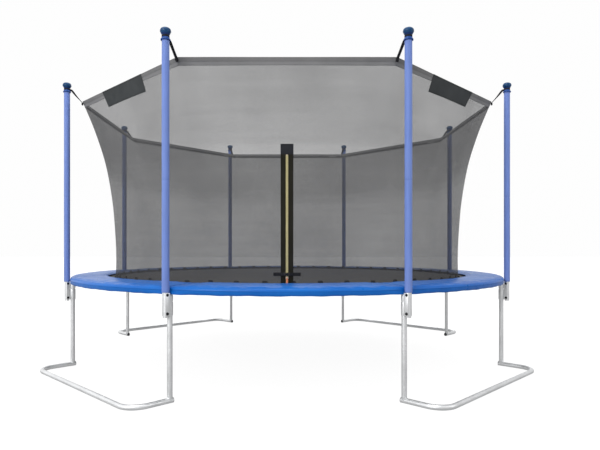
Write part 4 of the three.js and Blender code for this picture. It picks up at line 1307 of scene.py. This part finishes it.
# the two rows of coil, laid into each other
zs = np.arange(12, 956, 1.0)
for s, ph in ((-1, 0.0), (1, math.pi)):
    t = zs * 2 * math.pi / 6.0 + ph
    tape.add(*sweep(np.stack([s * 3.4 + 4.0 * np.cos(t), -3.75 - 1.15 * np.sin(t), zs], 1), circle(0.95, 5), up=(0, -1, 0)), mat=2, move=DOOR_MM)
    tape.add(*strip(min(s * 1.0, s * 8.8), max(s * 1.0, s * 8.8), 8, 958, -2.75, 1.0, 90, 0.2, 9), mat=5, move=DOOR_MM)
# stop at each end of the coil
for z in (10, 957):
    tape.add(*block(-5.5, 5.5, -5.0, -2.2, z - 3, z + 3, 0.8), mat=4, move=DOOR_MM)
tape_obj = put("zip_tapes", tape, [M_TAPE, M_FLAP, M_COIL, M_THREAD, M_SLIDER, M_EDGE], None)
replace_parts(tape_obj, "zip_tape")

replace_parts(net_obj, "safety_net")
flat_w = 8 * 2 * 2.045 * math.sin(rad(22.5))
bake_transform(net_obj)
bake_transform(tape_obj)

BZ = 84.0


def band_path(points):
    return np.array([[p[0], p[1], BZ] for p in rounded([(x, y) for x, y in points], 6.0, False, 4)])


webA = Shape()
webA.add(*sweep(band_path([(-100, -2.6), (-48, -4.6), (-32, -15.6), (-19, -15.8)]), np.array(flat_band(1.7, 25, 0.5)), up=(0, 0, 1)), mat=0, move=DOOR_MM)
for x in (-95, -80, -65, -50):
    webA.add(*sweep(np.array([[x, -4.6 - (0.3 if x < -60 else 1.0), z] for z in np.linspace(BZ - 9, BZ + 9, 7)]), circle(0.6, 5), up=(1, 0, 0)), mat=1, move=DOOR_MM)
put("buckle_web_left", webA, [M_WEBX, M_THREAD], "frame")

# socket half: a shell with side windows, open on the right for the prongs
sock = plain_object("sock", [block(-24, 8, -20.5, -11.5, BZ - 13, BZ + 13, 3.0, 4)])
hole = plain_object("hole", [block(-16, 14, -18.4, -13.6, BZ - 10, BZ + 10, 0.6, 2)])
win_a = plain_object("wa", [block(-9, 1, -24, -8, BZ + 8.5, BZ + 16, 1.0, 2)])
win_b = plain_object("wb", [block(-9, 1, -24, -8, BZ - 16, BZ - 8.5, 1.0, 2)])
sock = boolean(sock, [hole, win_a, win_b], "DIFFERENCE")
bv = sock.modifiers.new("bevel", "BEVEL")
bv.width, bv.segments, bv.limit_method, bv.angle_limit = 0.0006, 2, "ANGLE", rad(50)
me = bpy.data.meshes.new_from_object(sock.evaluated_get(bpy.context.evaluated_depsgraph_get()))
bpy.data.objects.remove(sock)
me.transform(DOOR)
me.shade_smooth()
me.set_sharp_from_angle(angle=rad(35))
put("buckle_socket", me, [M_BUCKLE], "frame")

plug = Shape()
plug.add(*block(9.4, 22, -20, -12, BZ - 12, BZ + 12, 2.4, 4), mat=0, move=DOOR_MM)
plug.add(*block(-11, 11, -17.6, -14.4, BZ - 2.6, BZ + 2.6, 1.0, 3), mat=0, move=DOOR_MM)
for s in (-1, 1):
    prong = np.array([[10, -16, BZ + s * 8.2], [2, -16, BZ + s * 8.4], [-5, -16, BZ + s * 8.9], [-11.5, -16, BZ + s * 7.0]])
    plug.add(*sweep(prong, np.array(flat_band(3.2, 2.2, 0.7)), up=(0, 0, 1), scale=[1.0, 1.0, 1.05, 0.6]), mat=0, move=DOOR_MM)
for x in (12.5, 15.5, 18.5):
    plug.add(*block(x - 0.6, x + 0.6, -20.7, -19.6, BZ - 9, BZ + 9, 0.4, 2), mat=0, move=DOOR_MM)
plug_obj = put("buckle_plug_half", plug, [M_BUCKLE], "buckle")
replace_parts(plug_obj, "buckle_plug")

webB = Shape()
webB.add(*sweep(band_path([(20, -15.8), (32, -15.6), (48, -4.6), (100, -2.6)]), np.array(flat_band(1.7, 25, 0.5)), up=(0, 0, 1)), mat=0, move=DOOR_MM)
for x in (95, 80, 65, 50):
    webB.add(*sweep(np.array([[x, -4.6 - (0.3 if x > 60 else 1.0), z] for z in np.linspace(BZ - 9, BZ + 9, 7)]), circle(0.6, 5), up=(1, 0, 0)), mat=1, move=DOOR_MM)
webB_obj = put("buckle_web_right", webB, [M_WEBX, M_THREAD], None)
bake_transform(webB_obj)

slider = Shape()
slider.add(*block(-9, 9, -7.2, -5.2, 48, 64.5, 2.5, 4), move=DOOR_MM)
for s in (-1, 1):
    slider.add(*block(s * 9 - 1.0, s * 9 + 1.0, -7.0, -2.6, 49, 63.5, 0.6, 2), move=DOOR_MM)
    slider.add(*block(s * 3.8 - 0.7, s * 3.8 + 0.7, -10.6, -7.0, 59.2, 62.6, 0.5, 2), move=DOOR_MM)
slider.add(*sweep(np.array([[x, -9.4, 61.0] for x in (-4.6, -2, 2, 4.6)]), circle(0.6, 12), up=(0, 0, 1)), move=DOOR_MM)
slider_obj = put("slider_body", slider, [M_SLIDER], "slider")
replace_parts(slider_obj, "zip_slider")

pull = Shape()
out = rounded([(-2.6, 60.6), (-2.6, 53.0), (-6.0, 47.5), (-6.0, 17.0), (-4.0, 12.4), (4.0, 12.4), (6.0, 17.0), (6.0, 47.5), (2.6, 53.0), (2.6, 60.6)], 2.0, True, 4)
out = np.array(out)
c = np.array([0.0, 32.0])
rows = [(0.86, -10.25), (1.0, -9.95), (1.0, -8.85), (0.86, -8.55)]
verts = np.concatenate([np.column_stack([(c + (out - c) * k)[:, 0], np.full(len(out), y), (c + (out - c) * k)[:, 1]]) for k, y in rows])
m = len(out)
q = grid_quads(4, m, wrap_v=True)
i = np.arange(m)
j = (i + 1) % m
verts = np.concatenate([verts, [[0, -10.25, 32], [0, -8.55, 32]]])
tris = np.concatenate([np.stack([np.full(m, 4 * m), j, i], 1), np.stack([3 * m + i, 3 * m + j, np.full(m, 4 * m + 1)], 1)])
pull.add(verts, q, tris, move=DOOR_MM)
for z in (20, 24, 28, 32, 36, 40):
    pull.add(*block(-4.2, 4.2, -10.8, -10.0, z - 0.8, z + 0.8, 0.5, 2), move=DOOR_MM)
ringp = rounded([(0.95, -2.6), (1.75, -2.6), (1.75, 2.6), (0.95, 2.6)], 0.2, True, 2)
pull.add(*lathe([tuple(p) for p in ringp], 20, True), move=DOOR_MM @ Matrix.Translation((0, -9.4, 61.0)) @ Matrix.Rotation(rad(90), 4, "Y"))
pull_obj = put("pull_tab", pull, [M_PULL], "pull")
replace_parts(pull_obj, "zip_pull")


# ---------------------------------------------------------------- floor and light
def floor():
    n = Nodes("floor_paint")
    c = n.mix(n.noise(0.6, 3), (0.150, 0.150, 0.150), (0.165, 0.165, 0.165))
    n.done(c, n.span(n.noise(8, 3), 0.3, 0.7, 0.7, 0.8), specular_ior_level=0.1)
    path = n.new("ShaderNodeLightPath")
    n.b.inputs["Emission Color"].default_value = (1, 1, 1, 1)
    n.link(n.span(path.outputs["Is Camera Ray"], 0, 1, 0.30, 0.92), n.b.inputs["Emission Strength"])
    me = bpy.data.meshes.new("floor")
    q = 60
    me.from_pydata([(-q, -q, -0.0006), (q, -q, -0.0006), (q, q, -0.0006), (-q, q, -0.0006)], [], [(0, 1, 2, 3)])
    me.materials.append(n.mat)
    o = bpy.data.objects.new("floor", me)
    bpy.context.scene.collection.objects.link(o)
    return o


floor()

world = bpy.data.worlds.new("studio")
bpy.context.scene.world = world
world.use_nodes = True
wt = world.node_tree
bg = wt.nodes["Background"]
bg.inputs["Color"].default_value = (1, 1, 1, 1)
bg.inputs["Strength"].default_value = 0.99
tc = wt.nodes.new("ShaderNodeTexCoord")
sep = wt.nodes.new("ShaderNodeSeparateXYZ")
wt.links.new(tc.outputs["Generated"], sep.inputs[0])
ramp = wt.nodes.new("ShaderNodeMapRange")          # brighter overhead
ramp.inputs["From Min"].default_value = -0.1
ramp.inputs["From Max"].default_value = 0.9
ramp.inputs["To Min"].default_value = 0.98
ramp.inputs["To Max"].default_value = 0.86
wt.links.new(sep.outputs[2], ramp.inputs["Value"])
side = wt.nodes.new("ShaderNodeMapRange")          # and brighter on the left
side.inputs["From Min"].default_value = -1.0
side.inputs["From Max"].default_value = 1.0
side.inputs["To Min"].default_value = 1.25
side.inputs["To Max"].default_value = 0.75
wt.links.new(sep.outputs[0], side.inputs["Value"])
both = wt.nodes.new("ShaderNodeMath")
both.operation = "MULTIPLY"
wt.links.new(ramp.outputs[0], both.inputs[0])
wt.links.new(side.outputs[0], both.inputs[1])
soft = wt.nodes.new("ShaderNodeBackground")
soft.inputs["Color"].default_value = (1, 1, 1, 1)
wt.links.new(both.outputs[0], soft.inputs["Strength"])
lp = wt.nodes.new("ShaderNodeLightPath")
mx = wt.nodes.new("ShaderNodeMixShader")
wt.links.new(lp.outputs["Is Camera Ray"], mx.inputs[0])
wt.links.new(soft.outputs[0], mx.inputs[1])
wt.links.new(bg.outputs[0], mx.inputs[2])
wt.links.new(mx.outputs[0], wt.nodes["World Output"].inputs["Surface"])


def area(name, at, to, size, power, color=(1, 1, 1)):
    l = bpy.data.lights.new(name, "AREA")
    l.shape, l.size, l.size_y, l.energy, l.color = "RECTANGLE", size[0], size[1], power, color
    o = bpy.data.objects.new(name, l)
    bpy.context.scene.collection.objects.link(o)
    o.location = at
    o.rotation_euler = (Vector(to) - Vector(at)).to_track_quat("-Z", "Y").to_euler()
    o.visible_camera = False
    return o


area("key", (-4.5, -8.0, 3.6), (0, 0, 1.1), (4, 3), 300)
area("top", (-0.5, -2.6, 7.6), (0, 0.9, 1.2), (4, 3), 160)
area("fill", (6.5, -4.0, 3.5), (0, 0, 1.2), (4, 3), 60)
area("back", (1.0, 7.5, 5.5), (0, 0, 1.4), (6, 3), 120)

sc = bpy.context.scene
sc.view_settings.view_transform = "Standard"
sc.view_settings.look = "None"
sc.view_settings.exposure = 0.0
sc.view_settings.gamma = 1.0
